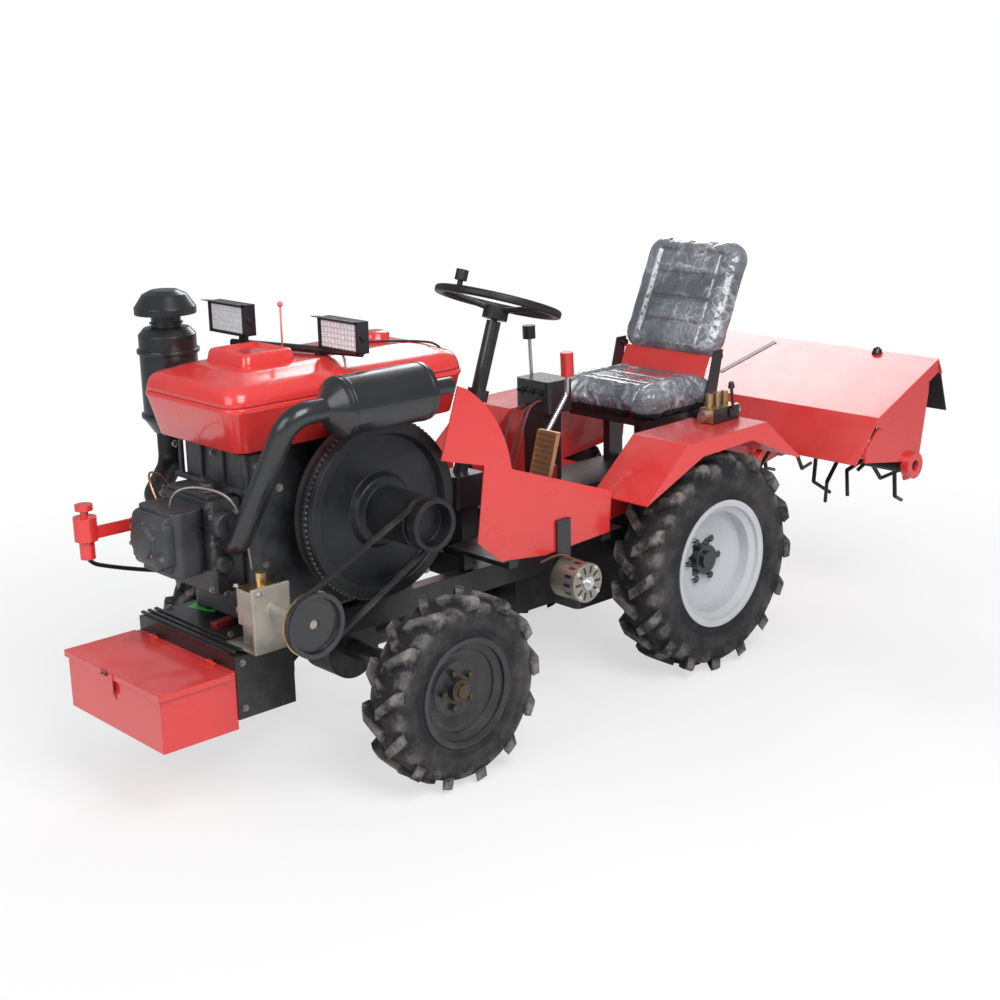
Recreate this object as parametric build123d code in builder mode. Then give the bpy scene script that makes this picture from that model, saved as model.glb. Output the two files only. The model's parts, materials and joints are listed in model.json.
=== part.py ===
from build123d import *
import math
import os

# Four-wheel rotary tiller: a small tractor with an open single-cylinder engine in front
# of the driver and a powered rotary tiller hinged behind its rear axle.
# Row frame in millimetres: +X forward, +Y to the left, +Z up, floor at z = 0.

# Driving dimensions of the whole machine
wheelbase = 1234.0
rear_axle_x = -411.5
front_axle_x = rear_axle_x + wheelbase
running_gap = 0.3
skin = 3.0

# Tyres and rims: every wheel of one axle is described by one row of values
rear_tyre_radius = 382.5
rear_tyre_width = 180.0
rear_rim_radius = 203.0
rear_flange_radius = 222.0
rear_wheel_y = 440.0
rear_lugs = 16
rear_lug_height = 24.0
rear_lug_width = 34.0
front_tyre_radius = 290.0
front_tyre_width = 145.0
front_rim_radius = 152.0
front_flange_radius = 166.0
front_wheel_y = 525.0
front_lugs = 13
front_lug_height = 20.0
front_lug_width = 30.0
rim_wall = 4.0

# Steering
kingpin_y = 385.0
kingpin_radius = 18.0
kingpin_height = 150.0
yoke_wall = 14.0
steer_arm = 135.0
tie_rod_drop = 86.0
tie_rod_radius = 11.0
steering_wheel_radius = 212.0
steering_rim_radius = 14.0
steering_hub = (rear_axle_x + 546.0, 0.0, 1262.0)
steering_lean = 19.0
steering_shaft_radius = 11.0
spinner_angle = 5.0

# Chassis rails
rail_y = 150.0
rail_width = 50.0
rail_bottom = 395.0
rail_top = 475.0
rail_wall = 6.0
rail_rear_x = rear_axle_x + 190.0
rail_front_x = rear_axle_x + 1796.0
steering_foot_x = rear_axle_x + 728.0
attach_x = rear_axle_x + 1434.0
attach_z = (rail_bottom + rail_top) / 2
attach_spacing_x = 120.0
attach_spacing_z = 40.0
attach_hole_radius = 7.0

# Front box and toolbox
front_box_rear_x = rear_axle_x + 1601.0
front_box_half = 255.0
front_box_bottom = 278.0
deck_z = 465.0
toolbox_rear_x = rail_front_x + running_gap
toolbox_front_x = rear_axle_x + 2039.0
toolbox_half = 250.0
toolbox_bottom = 250.0
toolbox_top = 420.0
lid_lip = 5.0
lid_skirt = 16.0
lid_hinge_step = 16.0
lid_hinge_radius = 5.0

# Engine
crank_x = rear_axle_x + 1300.0
crank_z = 800.0
block_rear_x = rear_axle_x + 1070.0
block_front_x = rear_axle_x + 1660.0
block_half = 165.0
block_bottom = 500.0
block_top = 1000.0
head_front_x = rear_axle_x + 1765.0
head_half = 130.0
head_bottom = 610.0
head_top = 880.0
cover_front_x = rear_axle_x + 1868.0
cover_half = 98.0
cover_bottom = 672.0
cover_top = 858.0
flywheel_radius = 275.0
flywheel_width = 78.0
flywheel_y = 325.0
flywheel_teeth = 96
tooth_depth = 5.0
crank_radius = 28.0
hub_pulley_radius = 76.0
hub_pulley_y = 545.0
belt_y = 505.0
belt_width = 17.0
belt_height = 11.0
pump_pulley_x = rear_axle_x + 1702.0
pump_pulley_z = 600.0
pump_pulley_radius = 92.0
pump_pulley_width = 30.0

# Tank hood
hood_rear_x = rear_axle_x + 889.0
hood_front_x = rear_axle_x + 1747.0
hood_half = 240.0
hood_bottom = 1020.0
hood_seam = 1146.0
hood_shoulder = 1205.0
hood_top = 1232.0

# Exhaust
muffler_y = 400.0
muffler_z = 1150.0
muffler_radius = 84.0
muffler_front_x = rear_axle_x + 1515.0
muffler_rear_x = rear_axle_x + 1215.0
exhaust_pipe_radius = 33.0
exhaust_port_z = 768.0
tail_end_x = rear_axle_x + 1105.0

# Air cleaner
cleaner_x = rear_axle_x + 1575.0
cleaner_y = -342.0
cleaner_radius = 86.0
cleaner_bottom = 985.0
cleaner_top = 1300.0
cap_radius = 92.0
cap_top = cleaner_top + 112.0
intake_z = 822.0

# Work lamps
lamp_width = 180.0
lamp_height = 92.0
lamp_depth = 40.0
lamp_left = (rear_axle_x + 1335.0, 185.0, hood_top + 68.0)
lamp_right = (rear_axle_x + 1470.0, -175.0, hood_top + 98.0)

# Gearbox and rear axle
gearbox_half = 125.0
gearbox_front_x = rear_axle_x + 580.0
gearbox_bottom = 195.0
gearbox_top = 640.0
axle_tube_radius = 58.0
axle_tube_end = 330.0
hub_flange_radius = 92.0

# Driver's station
panel_y = 385.0
footboard_z = 560.0
footboard_rear_x = rear_axle_x + 354.0
console_x = rear_axle_x + 330.0
seat_half = 222.0
cushion_front_x = rear_axle_x + 25.0
cushion_rear_x = rear_axle_x - 345.0
cushion_bottom = 835.0
cushion_top = 925.0
back_bottom_x = rear_axle_x - 268.0
back_bottom_z = 985.0
back_top_x = rear_axle_x - 470.0
back_top_z = 1428.0
back_thickness = 75.0
fender_top = 843.0
fender_inner = 300.0
fender_outer = 540.0

# Tiller
hinge_x = rear_axle_x - 205.0
hinge_z = 420.0
hinge_pin_radius = 22.0
tiller_half = 620.0
hood_front_edge = (rear_axle_x - 757.0, 781.0)
hood_rear_edge = (rear_axle_x - 1137.0, 947.0)
skirt_foot = (rear_axle_x - 622.0, 628.0)
rotor_x = rear_axle_x - 985.0
rotor_z = 565.0
tine_radius = 210.0
rotor_tube_radius = 36.0
rotor_half = tiller_half - 45.0
hood_sheet = 4.0
plate_wall = 10.0
flange_depth = 52.0
arm_y = 165.0
lift_base = (rear_axle_x - 215.0, 262.0)
lift_eye = (rear_axle_x - 500.0, 425.0)
lift_y = 95.0
lift_lug_gap = 18.0
lift_lug_wall = 12.0
lift_barrel_length = 198.0

os.makedirs("parts", exist_ok=True)


def save(part, label):
    """Label a finished piece and write it to its own file."""
    part.label = label
    export_step(part, f"parts/{label}.step")


def along(start, end):
    """A plane at start whose normal looks towards end."""
    return Plane(origin=start, z_dir=(Vector(*end) - Vector(*start)))


def lengthwise(y):
    """A plane in X and Z at this y, whose normal looks to the right (-Y)."""
    return Plane(origin=(0, y, 0), x_dir=(1, 0, 0), z_dir=(0, -1, 0))


def crosswise(x):
    """A plane in Y and Z at this x, whose normal looks forward (+X)."""
    return Plane(origin=(x, 0, 0), x_dir=(0, 1, 0), z_dir=(1, 0, 0))


def rod(start, end, radius, mode=Mode.ADD):
    """A round bar from start to end."""
    with BuildSketch(along(start, end)) as section:
        Circle(radius)
    extrude(section.sketch, amount=(Vector(*end) - Vector(*start)).length, mode=mode)


def block(x_span, y_span, z_span, mode=Mode.ADD, corner=0.0):
    """A block between two values on each axis, its upright edges rounded by corner."""
    width = x_span[1] - x_span[0]
    depth = y_span[1] - y_span[0]
    with BuildSketch(Plane.XY.offset(z_span[0])) as section:
        with Locations((x_span[0] + width / 2, y_span[0] + depth / 2)):
            if corner:
                RectangleRounded(width, depth, corner)
            else:
                Rectangle(width, depth)
    extrude(section.sketch, amount=z_span[1] - z_span[0], mode=mode)


def side_slab(points, y, thickness, mode=Mode.ADD):
    """A flat plate with an outline in X and Z, from y to y - thickness."""
    with BuildSketch(lengthwise(y)) as section:
        with BuildLine():
            Polyline(*points, close=True)
        make_face()
    extrude(section.sketch, amount=thickness, mode=mode)


def front_slab(points, x, thickness, mode=Mode.ADD):
    """A flat plate with an outline in Y and Z, from x to x + thickness."""
    with BuildSketch(crosswise(x)) as section:
        with BuildLine():
            Polyline(*points, close=True)
        make_face()
    extrude(section.sketch, amount=thickness, mode=mode)


def bent_tube(points, bends, radius, mode=Mode.ADD):
    """A round tube along straight runs joined by arcs, one bend radius a corner."""
    with BuildLine() as path:
        FilletPolyline(*points, radius=bends)
    with BuildSketch(along(points[0], points[1])) as section:
        Circle(radius)
    sweep(section.sketch, path=path.line, mode=mode)


def turned(points, x, y, z, mode=Mode.ADD):
    """A body turned about a crosswise axle: points are (radius, distance to the left)."""
    with BuildSketch(Plane(origin=(x, y, z))) as section:
        with BuildLine():
            Polyline(*points, close=True)
        make_face()
    revolve(section.sketch, axis=Axis((x, y, z), (0, 1, 0)), mode=mode)


# Tyres with bar lugs


def make_tyre(x, y, radius, width, rim_radius, flange_radius, lugs, lug_height, lug_width):
    """A left-hand farm tyre: a turned carcass under two rows of slanted bar lugs."""
    carcass_radius = radius - lug_height
    half = width / 2
    bead = half - 14
    side_radius = (carcass_radius + rim_radius) / 2
    with BuildPart() as tread:
        for side in (1, -1):
            bar = [
                (lug_width * 0.75, -side * 4.0),
                (lug_width * 1.75, -side * 4.0),
                (-lug_width * 0.35, side * (half + 2)),
                (-lug_width * 1.65, side * (half + 2)),
            ]
            with BuildSketch(Plane(origin=(x, y, radius))) as footprint:
                with BuildLine():
                    Polyline(*bar, close=True)
                make_face()
            top_z = carcass_radius - lug_height
            bar_solid = extrude(
                footprint.sketch.moved(Location((0, 0, top_z))),
                amount=2 * lug_height + 6,
                mode=Mode.PRIVATE,
            )
            axle = Axis((x, y, radius), (0, 1, 0))
            step = 360.0 / lugs
            shift = step / 2 if side < 0 else 0.0
            add([bar_solid.rotate(axle, number * step + shift) for number in range(lugs)])
        turned(
            [
                (carcass_radius - lug_height * 1.1, half),
                (radius - lug_height * 0.45, half),
                (radius, half * 0.86),
                (radius, -half * 0.86),
                (radius - lug_height * 0.45, -half),
                (carcass_radius - lug_height * 1.1, -half),
            ],
            x,
            y,
            radius,
            mode=Mode.INTERSECT,
        )
    with BuildPart() as tyre:
        turned(
            [
                (rim_radius + running_gap, bead),
                (rim_radius + 12, bead + 3),
                (flange_radius + 2, bead + 3),
                (side_radius, half - 2),
                (carcass_radius - 22, half - 5),
                (carcass_radius - 7, half * 0.8),
                (carcass_radius, half * 0.45),
                (carcass_radius, -half * 0.45),
                (carcass_radius - 7, -half * 0.8),
                (carcass_radius - 22, -half + 5),
                (side_radius, -half + 2),
                (flange_radius + 2, -bead - 3),
                (rim_radius + 12, -bead - 3),
                (rim_radius + running_gap, -bead),
            ],
            x,
            y,
            radius,
        )
        add(tread.part)
    return tyre.part


def make_rim(x, y, z, rim_radius, flange_radius, width, dish):
    """A left-hand wheel: drop-centre barrel, dished disc, hub and wheel nuts."""
    half = width / 2 - 14 + running_gap
    well = half - 26
    well_radius = rim_radius - 22
    inner = rim_radius - rim_wall
    with BuildPart() as rim:
        turned(
            [
                (flange_radius, half + 7),
                (flange_radius, half + 3),
                (rim_radius + 12, half + 3),
                (rim_radius, half),
                (rim_radius, well + 12),
                (well_radius, well),
                (well_radius, -well),
                (rim_radius, -well - 12),
                (rim_radius, -half),
                (rim_radius + 12, -half - 3),
                (flange_radius, -half - 3),
                (flange_radius, -half - 7),
                (inner + 12, -half - 7),
                (inner, -half - 3),
                (inner, -well - 16),
                (well_radius - rim_wall, -well - 4),
                (well_radius - rim_wall, well + 4),
                (inner, well + 16),
                (inner, half + 3),
                (inner + 12, half + 7),
            ],
            x,
            y,
            z,
        )
        turned(
            [
                (well_radius - rim_wall + 1, dish["rim_y"]),
                (dish["shoulder_radius"], dish["rim_y"] - 4),
                (dish["face_radius"], dish["face_y"]),
                (0, dish["face_y"]),
                (0, dish["face_y"] - 6),
                (dish["face_radius"] + 3, dish["face_y"] - 6),
                (dish["shoulder_radius"], dish["rim_y"] - 12),
                (well_radius - rim_wall + 1, dish["rim_y"] - 8),
            ],
            x,
            y,
            z,
        )
        face = y + dish["face_y"]
        rod((x, face - 1, z), (x, face + dish["hub_length"], z), dish["hub_radius"])
        rod(
            (x, face + dish["hub_length"] - 1, z),
            (x, face + dish["hub_length"] + 12, z),
            dish["hub_radius"] * 0.6,
        )
        nut_plane = Plane(origin=(x, face - 1, z), x_dir=(1, 0, 0), z_dir=(0, 1, 0))
        with BuildSketch(nut_plane) as nuts:
            with PolarLocations(dish["nut_circle"] / 2, dish["nuts"]):
                RegularPolygon(dish["nut_radius"], 6)
        extrude(nuts.sketch, amount=17)
    return rim.part


# Rear tyres and rims, the right ones mirrored from the left
rear_dish = {
    "rim_y": 14.0,
    "shoulder_radius": 158.0,
    "face_radius": 108.0,
    "face_y": -14.0,
    "hub_radius": 52.0,
    "hub_length": 26.0,
    "nut_circle": 152.0,
    "nuts": 6,
    "nut_radius": 13.0,
}
front_dish = {
    "rim_y": 30.0,
    "shoulder_radius": 112.0,
    "face_radius": 84.0,
    "face_y": 14.0,
    "hub_radius": 34.0,
    "hub_length": 24.0,
    "nut_circle": 114.0,
    "nuts": 5,
    "nut_radius": 10.0,
}

tyre_rear_left = make_tyre(
    rear_axle_x,
    rear_wheel_y,
    rear_tyre_radius,
    rear_tyre_width,
    rear_rim_radius,
    rear_flange_radius,
    rear_lugs,
    rear_lug_height,
    rear_lug_width,
)
tyre_front_left = make_tyre(
    front_axle_x,
    front_wheel_y,
    front_tyre_radius,
    front_tyre_width,
    front_rim_radius,
    front_flange_radius,
    front_lugs,
    front_lug_height,
    front_lug_width,
)
rim_rear_left = make_rim(
    rear_axle_x,
    rear_wheel_y,
    rear_tyre_radius,
    rear_rim_radius,
    rear_flange_radius,
    rear_tyre_width,
    rear_dish,
)
rim_front_left = make_rim(
    front_axle_x,
    front_wheel_y,
    front_tyre_radius,
    front_rim_radius,
    front_flange_radius,
    front_tyre_width,
    front_dish,
)
for left_piece, name in (
    (tyre_rear_left, "tyre_rear"),
    (tyre_front_left, "tyre_front"),
    (rim_rear_left, "rim_rear"),
    (rim_front_left, "rim_front"),
):
    with BuildPart() as right_piece:
        mirror(left_piece, about=Plane.XZ)
    save(left_piece, f"{name}_left")
    save(right_piece.part, f"{name}_right")

# Chassis frame: two channel rails, cross members, front box and deck, engine feet
with BuildPart() as chassis_frame:
    for side in (1, -1):
        outer = side * (rail_y + rail_width / 2)
        inner_face = side * (rail_y - rail_width / 2)
        span = (min(outer, inner_face), max(outer, inner_face))
        block((rail_rear_x, rail_front_x), span, (rail_bottom, rail_top))
        web = side * (rail_y + rail_width / 2 - rail_wall)
        hollow = (min(inner_face - side, web), max(inner_face - side, web))
        block(
            (rail_rear_x - 1, rail_front_x + 1),
            hollow,
            (rail_bottom + rail_wall, rail_top - rail_wall),
            mode=Mode.SUBTRACT,
        )
    inner_half = rail_y + rail_width / 2 - rail_wall
    for x in (steering_foot_x - 40, front_axle_x - 40, block_front_x - 60):
        block((x, x + 80), (-inner_half, inner_half), (rail_bottom, rail_top))
    # front box under the deck, its walls as thick as the rails'
    block(
        (front_box_rear_x, rail_front_x),
        (-front_box_half, front_box_half),
        (front_box_bottom, deck_z),
    )
    # deck plate with a bumper lip
    block(
        (front_box_rear_x, rail_front_x + 4),
        (-front_box_half + 30, front_box_half - 30),
        (deck_z, deck_z + 10),
    )
    # engine feet
    for side in (1, -1):
        for x in (block_rear_x + 70, block_front_x - 70):
            block(
                (x - 50, x + 50),
                (side * rail_y - 30, side * rail_y + 30),
                (rail_top, block_bottom - running_gap),
            )
    # attachment holes through both rail webs, ahead of the front axle
    outer = rail_y + rail_width / 2
    for x in (attach_x - attach_spacing_x / 2, attach_x + attach_spacing_x / 2):
        for z in (attach_z - attach_spacing_z / 2, attach_z + attach_spacing_z / 2):
            rod((x, -outer - 1, z), (x, outer + 1, z), attach_hole_radius, mode=Mode.SUBTRACT)
save(chassis_frame.part, "chassis_frame")

lid_z = toolbox_top + running_gap
lid_hinge_x = toolbox_rear_x + lid_hinge_step
lid_hinge_z = lid_z + skin + lid_hinge_radius
lid_edge_x = lid_hinge_x + 1

# Toolbox shell, open at the top, bolted to the front of the front box
with BuildPart() as toolbox_body:
    block(
        (toolbox_rear_x, toolbox_front_x),
        (-toolbox_half, toolbox_half),
        (toolbox_bottom, toolbox_top),
    )
    block(
        (toolbox_rear_x + skin, toolbox_front_x - skin),
        (-toolbox_half + skin, toolbox_half - skin),
        (toolbox_bottom + skin, toolbox_top + 1),
        mode=Mode.SUBTRACT,
    )
    # fixed strip behind the lid, which carries the hinge knuckles
    block(
        (toolbox_rear_x, lid_hinge_x - 1),
        (-toolbox_half, toolbox_half),
        (toolbox_top, toolbox_top + skin),
    )
    for y in (-150, 150):
        rod((lid_hinge_x, y - 24, lid_hinge_z), (lid_hinge_x, y - 1, lid_hinge_z), lid_hinge_radius)
        block(
            (lid_hinge_x - 12, lid_hinge_x - 1),
            (y - 24, y - 1),
            (toolbox_top + skin - 1, lid_hinge_z + 2),
        )
    # hasp staple
    block((toolbox_front_x, toolbox_front_x + 3), (-14, 14), (toolbox_top - 75, toolbox_top - 45))
save(toolbox_body.part, "toolbox_body")

# Toolbox lid: a folded tray that closes over the shell, hinged along its rear edge
with BuildPart() as toolbox_lid:
    block(
        (lid_edge_x, toolbox_front_x + lid_lip + skin),
        (-toolbox_half - lid_lip - skin, toolbox_half + lid_lip + skin),
        (toolbox_top - lid_skirt, lid_z + skin),
    )
    block(
        (lid_edge_x - 1, toolbox_front_x + lid_lip),
        (-toolbox_half - lid_lip, toolbox_half + lid_lip),
        (toolbox_top - lid_skirt - 1, lid_z),
        mode=Mode.SUBTRACT,
    )
    for y in (-150, 150):
        rod((lid_hinge_x, y + 1, lid_hinge_z), (lid_hinge_x, y + 24, lid_hinge_z), lid_hinge_radius)
        block(
            (lid_edge_x, lid_hinge_x + 12),
            (y + 1, y + 24),
            (lid_z + skin - 1, lid_hinge_z + 2),
        )
    # hasp tongue
    block(
        (toolbox_front_x + lid_lip + skin, toolbox_front_x + lid_lip + 2 * skin),
        (-18, 18),
        (toolbox_top - 62, lid_z + skin),
    )
save(toolbox_lid.part, "toolbox_lid")

# Engine block: crankcase, cylinder block, side covers and sump
with BuildPart() as engine_block:
    block((block_rear_x, block_front_x), (-block_half, block_half), (block_bottom, block_top), corner=28)
    # flywheel-side bearing cover
    cover_face = block_half + 34
    rod((crank_x, block_half - 1, crank_z), (crank_x, cover_face, crank_z), 150)
    rod((crank_x, cover_face - 1, crank_z), (crank_x, cover_face + 60, crank_z), crank_radius)
    # gear cover on the right, two rounded lobes
    side_slab(
        [
            (block_rear_x + 20, block_bottom + 30),
            (block_front_x - 190, block_bottom + 30),
            (block_front_x - 120, crank_z - 60),
            (block_front_x - 120, crank_z + 100),
            (block_front_x - 190, block_top - 40),
            (block_rear_x + 70, block_top - 60),
            (block_rear_x + 20, crank_z + 60),
        ],
        -block_half + 1,
        62,
    )
    # four feet for the fuel tank
    for x in (block_rear_x + 60, block_front_x - 60):
        for y in (-block_half + 40, block_half - 40):
            block((x - 30, x + 30), (y - 24, y + 24), (block_top - 1, hood_bottom - running_gap))
save(engine_block.part, "engine_block")

# Cylinder head with its rocker cover, intake and exhaust bosses
with BuildPart() as cylinder_head:
    block(
        (block_front_x + running_gap, head_front_x),
        (-head_half, head_half),
        (head_bottom, head_top),
        corner=12,
    )
    block(
        (head_front_x - 1, cover_front_x),
        (-cover_half, cover_half),
        (cover_bottom, cover_top),
        corner=30,
    )
save(cylinder_head.part, "cylinder_head")

# Tank hood: a tapered tub, a seam lip and a shouldered top
with BuildPart() as tank_hood:
    hood_length = hood_front_x - hood_rear_x
    hood_mid_x = (hood_front_x + hood_rear_x) / 2
    sections = (
        # height, length, half-width, shift forward
        (hood_bottom, hood_length - 62, hood_half - 26, 0.0),
        (hood_seam, hood_length - 6, hood_half - 5, 0.0),
    )
    with BuildSketch(Plane.XY.offset(hood_bottom)):
        with Locations((hood_mid_x, 0)):
            RectangleRounded(hood_length - 62, 2 * (hood_half - 22), 40)
    with BuildSketch(Plane.XY.offset(hood_seam)):
        with Locations((hood_mid_x, 0)):
            RectangleRounded(hood_length - 8, 2 * (hood_half - 5), 48)
    loft(ruled=True)
    with BuildSketch(Plane.XY.offset(hood_seam - 6)):
        with Locations((hood_mid_x, 0)):
            RectangleRounded(hood_length, 2 * hood_half, 52)
    extrude(amount=10)
    with BuildSketch(Plane.XY.offset(hood_seam + 4)):
        with Locations((hood_mid_x, 0)):
            RectangleRounded(hood_length - 10, 2 * (hood_half - 6), 46)
    with BuildSketch(Plane.XY.offset(hood_shoulder)):
        with Locations((hood_mid_x, 0)):
            RectangleRounded(hood_length - 46, 2 * (hood_half - 34), 40)
    loft(ruled=True)
    with BuildSketch(Plane.XY.offset(hood_shoulder)):
        with Locations((hood_mid_x, 0)):
            RectangleRounded(hood_length - 46, 2 * (hood_half - 34), 40)
    with BuildSketch(Plane.XY.offset(hood_top)):
        with Locations((hood_mid_x, 0)):
            RectangleRounded(hood_length - 180, 2 * (hood_half - 120), 40)
    loft(ruled=True)
    # square filler boss in front, round filler cap behind
    boss_x = rear_axle_x + 1512.0
    block((boss_x - 88, boss_x + 88), (-100, 100), (hood_shoulder, hood_top + 36), corner=16)
    block((boss_x - 58, boss_x + 58), (-70, 70), (hood_top + 24, hood_top + 40), Mode.SUBTRACT, 12)
    cap_x = rear_axle_x + 1054.0
    rod((cap_x, 0, hood_shoulder), (cap_x, 0, hood_top + 28), 42)
save(tank_hood.part, "tank_hood")

# Air cleaner: canister under a mushroom cap
with BuildPart() as air_cleaner:
    with BuildSketch(Plane.XZ.offset(-cleaner_y)) as cleaner_profile:
        with BuildLine():
            Polyline(
                (cleaner_x, cleaner_bottom),
                (cleaner_x + cleaner_radius * 0.7, cleaner_bottom),
                (cleaner_x + cleaner_radius, cleaner_bottom + 40),
                (cleaner_x + cleaner_radius, cleaner_top - 20),
                (cleaner_x + cleaner_radius * 0.8, cleaner_top),
                (cleaner_x + 44, cleaner_top + 6),
                (cleaner_x + 44, cleaner_top + 42),
                (cleaner_x + cap_radius, cleaner_top + 42),
                (cleaner_x + cap_radius, cleaner_top + 62),
                (cleaner_x + cap_radius * 0.72, cap_top - 12),
                (cleaner_x + cap_radius * 0.45, cap_top),
                (cleaner_x, cap_top),
                close=True,
            )
        make_face()
    revolve(cleaner_profile.sketch, axis=Axis((cleaner_x, cleaner_y, 0), (0, 0, 1)))
    # strap bracket to the engine
    strap = (cleaner_x - 20, cleaner_x + 20)
    strap_top = cleaner_bottom + 22
    block(strap, (cleaner_y, -block_half - running_gap), (strap_top - 6, strap_top))
    block(
        strap,
        (-block_half - running_gap - 6, -block_half - running_gap),
        (block_top - 90, strap_top),
    )
save(air_cleaner.part, "air_cleaner")

# Intake hose from the canister's foot to the head
with BuildPart() as intake_hose:
    bent_tube(
        [
            (cleaner_x + 20, cleaner_y, cleaner_bottom - running_gap),
            (cleaner_x + 20, cleaner_y, intake_z + 62),
            (head_front_x - 48, -head_half - 115, intake_z),
            (head_front_x - 48, -head_half - running_gap, intake_z),
        ],
        [55, 50],
        36,
    )
save(intake_hose.part, "intake_hose")

# Exhaust: head flange, bent pipe, cone, muffler drum and tail pipe
with BuildPart() as exhaust_muffler:
    bent_tube(
        [
            (head_front_x - 38, head_half + running_gap, exhaust_port_z),
            (head_front_x - 38, head_half + 72, exhaust_port_z),
            (rear_axle_x + 1672, muffler_y, muffler_z),
            (muffler_front_x + 30, muffler_y, muffler_z),
        ],
        [40, 70],
        exhaust_pipe_radius,
    )
    with BuildSketch(Plane(origin=(muffler_rear_x, muffler_y, muffler_z))) as drum:
        with BuildLine():
            Polyline(
                (tail_end_x - muffler_rear_x, 0),
                (tail_end_x - muffler_rear_x, 25),
                (-14, 25),
                (-10, muffler_radius - 16),
                (0, muffler_radius),
                (muffler_front_x - muffler_rear_x, muffler_radius),
                (muffler_front_x - muffler_rear_x + 10, muffler_radius - 8),
                (muffler_front_x - muffler_rear_x + 44, exhaust_pipe_radius),
                (muffler_front_x - muffler_rear_x + 44, 0),
                close=True,
            )
        make_face()
    revolve(drum.sketch, axis=Axis((0, muffler_y, muffler_z), (1, 0, 0)))
save(exhaust_muffler.part, "exhaust_muffler")

# Fuel filter and hand primer on a bracket at the right of the head
with BuildPart() as fuel_filter:
    filter_x = rear_axle_x + 1950.0
    filter_y = -245.0
    filter_z = 682.0
    block(
        (head_front_x - 60, filter_x + 20),
        (filter_y + 16, filter_y + 24),
        (filter_z + 60, filter_z + 96),
    )
    block(
        (head_front_x - 60, head_front_x - 20),
        (filter_y + 20, -head_half - running_gap),
        (filter_z + 68, filter_z + 88),
    )
    rod((filter_x, filter_y, filter_z), (filter_x, filter_y, filter_z + 56), 22)
    rod((filter_x, filter_y, filter_z + 55), (filter_x, filter_y, filter_z + 125), 34)
    rod((filter_x, filter_y, filter_z + 124), (filter_x, filter_y, filter_z + 146), 12)
    rod((filter_x, filter_y, filter_z + 145), (filter_x, filter_y, filter_z + 162), 26)
save(fuel_filter.part, "fuel_filter")

# Hydraulic gear pump on its bracket over the deck
pump_y = 225.0
with BuildPart() as hydraulic_pump:
    block((pump_pulley_x - 50, pump_pulley_x + 50), (pump_y - 20, pump_y + 75), (545, 650), corner=14)
    rod((pump_pulley_x, pump_y + 75, pump_pulley_z), (pump_pulley_x, belt_y - 4, pump_pulley_z), 15)
    block(
        (pump_pulley_x - 62, pump_pulley_x + 62),
        (pump_y + 75, pump_y + 85),
        (deck_z + 10 + running_gap, 665),
    )
    block(
        (pump_pulley_x - 62, pump_pulley_x + 62),
        (pump_y - 60, pump_y + 85),
        (deck_z + 10 + running_gap, deck_z + 18),
    )
    block((pump_pulley_x - 30, pump_pulley_x + 30), (pump_y - 20, pump_y + 60), (deck_z + 17, 546))
    rod((pump_pulley_x - 10, pump_y + 25, 649), (pump_pulley_x - 10, pump_y + 25, 690), 16)
save(hydraulic_pump.part, "hydraulic_pump")

# Flywheel with ring gear and stepped hub pulley, turning on the crankshaft
groove = belt_height + 2
with BuildPart() as flywheel:
    body_inner = cover_face + 6
    turned(
        [
            (0, cover_face + 62 - flywheel_y),
            (crank_radius + running_gap, cover_face + 62 - flywheel_y),
            (crank_radius + running_gap, body_inner - flywheel_y),
            (70, body_inner - flywheel_y),
            (70, -flywheel_width + 18),
            (flywheel_radius - 60, -flywheel_width + 18),
            (flywheel_radius - 55, -flywheel_width),
            (flywheel_radius - tooth_depth - 4, -flywheel_width),
            (flywheel_radius - tooth_depth - 4, -16),
            (flywheel_radius - 14, 0),
            (flywheel_radius - 46, 0),
            (flywheel_radius - 58, -26),
            (112, -26),
            (100, -4),
            (hub_pulley_radius, 0),
            (hub_pulley_radius, belt_y - belt_width / 2 - 12 - flywheel_y),
            (hub_pulley_radius, belt_y - belt_width / 2 - 2 - flywheel_y),
            (hub_pulley_radius - groove, belt_y - belt_width / 2 + 1 - flywheel_y),
            (hub_pulley_radius - groove, belt_y + belt_width / 2 - 1 - flywheel_y),
            (hub_pulley_radius, belt_y + belt_width / 2 + 2 - flywheel_y),
            (hub_pulley_radius, hub_pulley_y - flywheel_y),
            (hub_pulley_radius - 14, hub_pulley_y - flywheel_y),
            (hub_pulley_radius - 18, hub_pulley_y - flywheel_y - 44),
            (0, hub_pulley_y - flywheel_y - 44),
        ],
        crank_x,
        flywheel_y,
        crank_z,
    )
    # ring gear
    turned(
        [
            (flywheel_radius - tooth_depth - 8, -52),
            (flywheel_radius - tooth_depth, -52),
            (flywheel_radius - tooth_depth, -30),
            (flywheel_radius - tooth_depth - 8, -30),
        ],
        crank_x,
        flywheel_y,
        crank_z,
    )
save(flywheel.part, "flywheel")

# Pump pulley on the pump's shaft
with BuildPart() as pump_pulley:
    half_width = pump_pulley_width / 2
    turned(
        [
            (15 + running_gap, -half_width),
            (pump_pulley_radius, -half_width),
            (pump_pulley_radius, -belt_width / 2 - 2),
            (pump_pulley_radius - groove, -belt_width / 2 + 1),
            (pump_pulley_radius - groove, belt_width / 2 - 1),
            (pump_pulley_radius, belt_width / 2 + 2),
            (pump_pulley_radius, half_width),
            (pump_pulley_radius - 14, half_width),
            (pump_pulley_radius - 18, half_width - 14),
            (15 + running_gap, half_width - 14),
        ],
        pump_pulley_x,
        belt_y,
        pump_pulley_z,
    )
save(pump_pulley.part, "pump_pulley")

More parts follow.
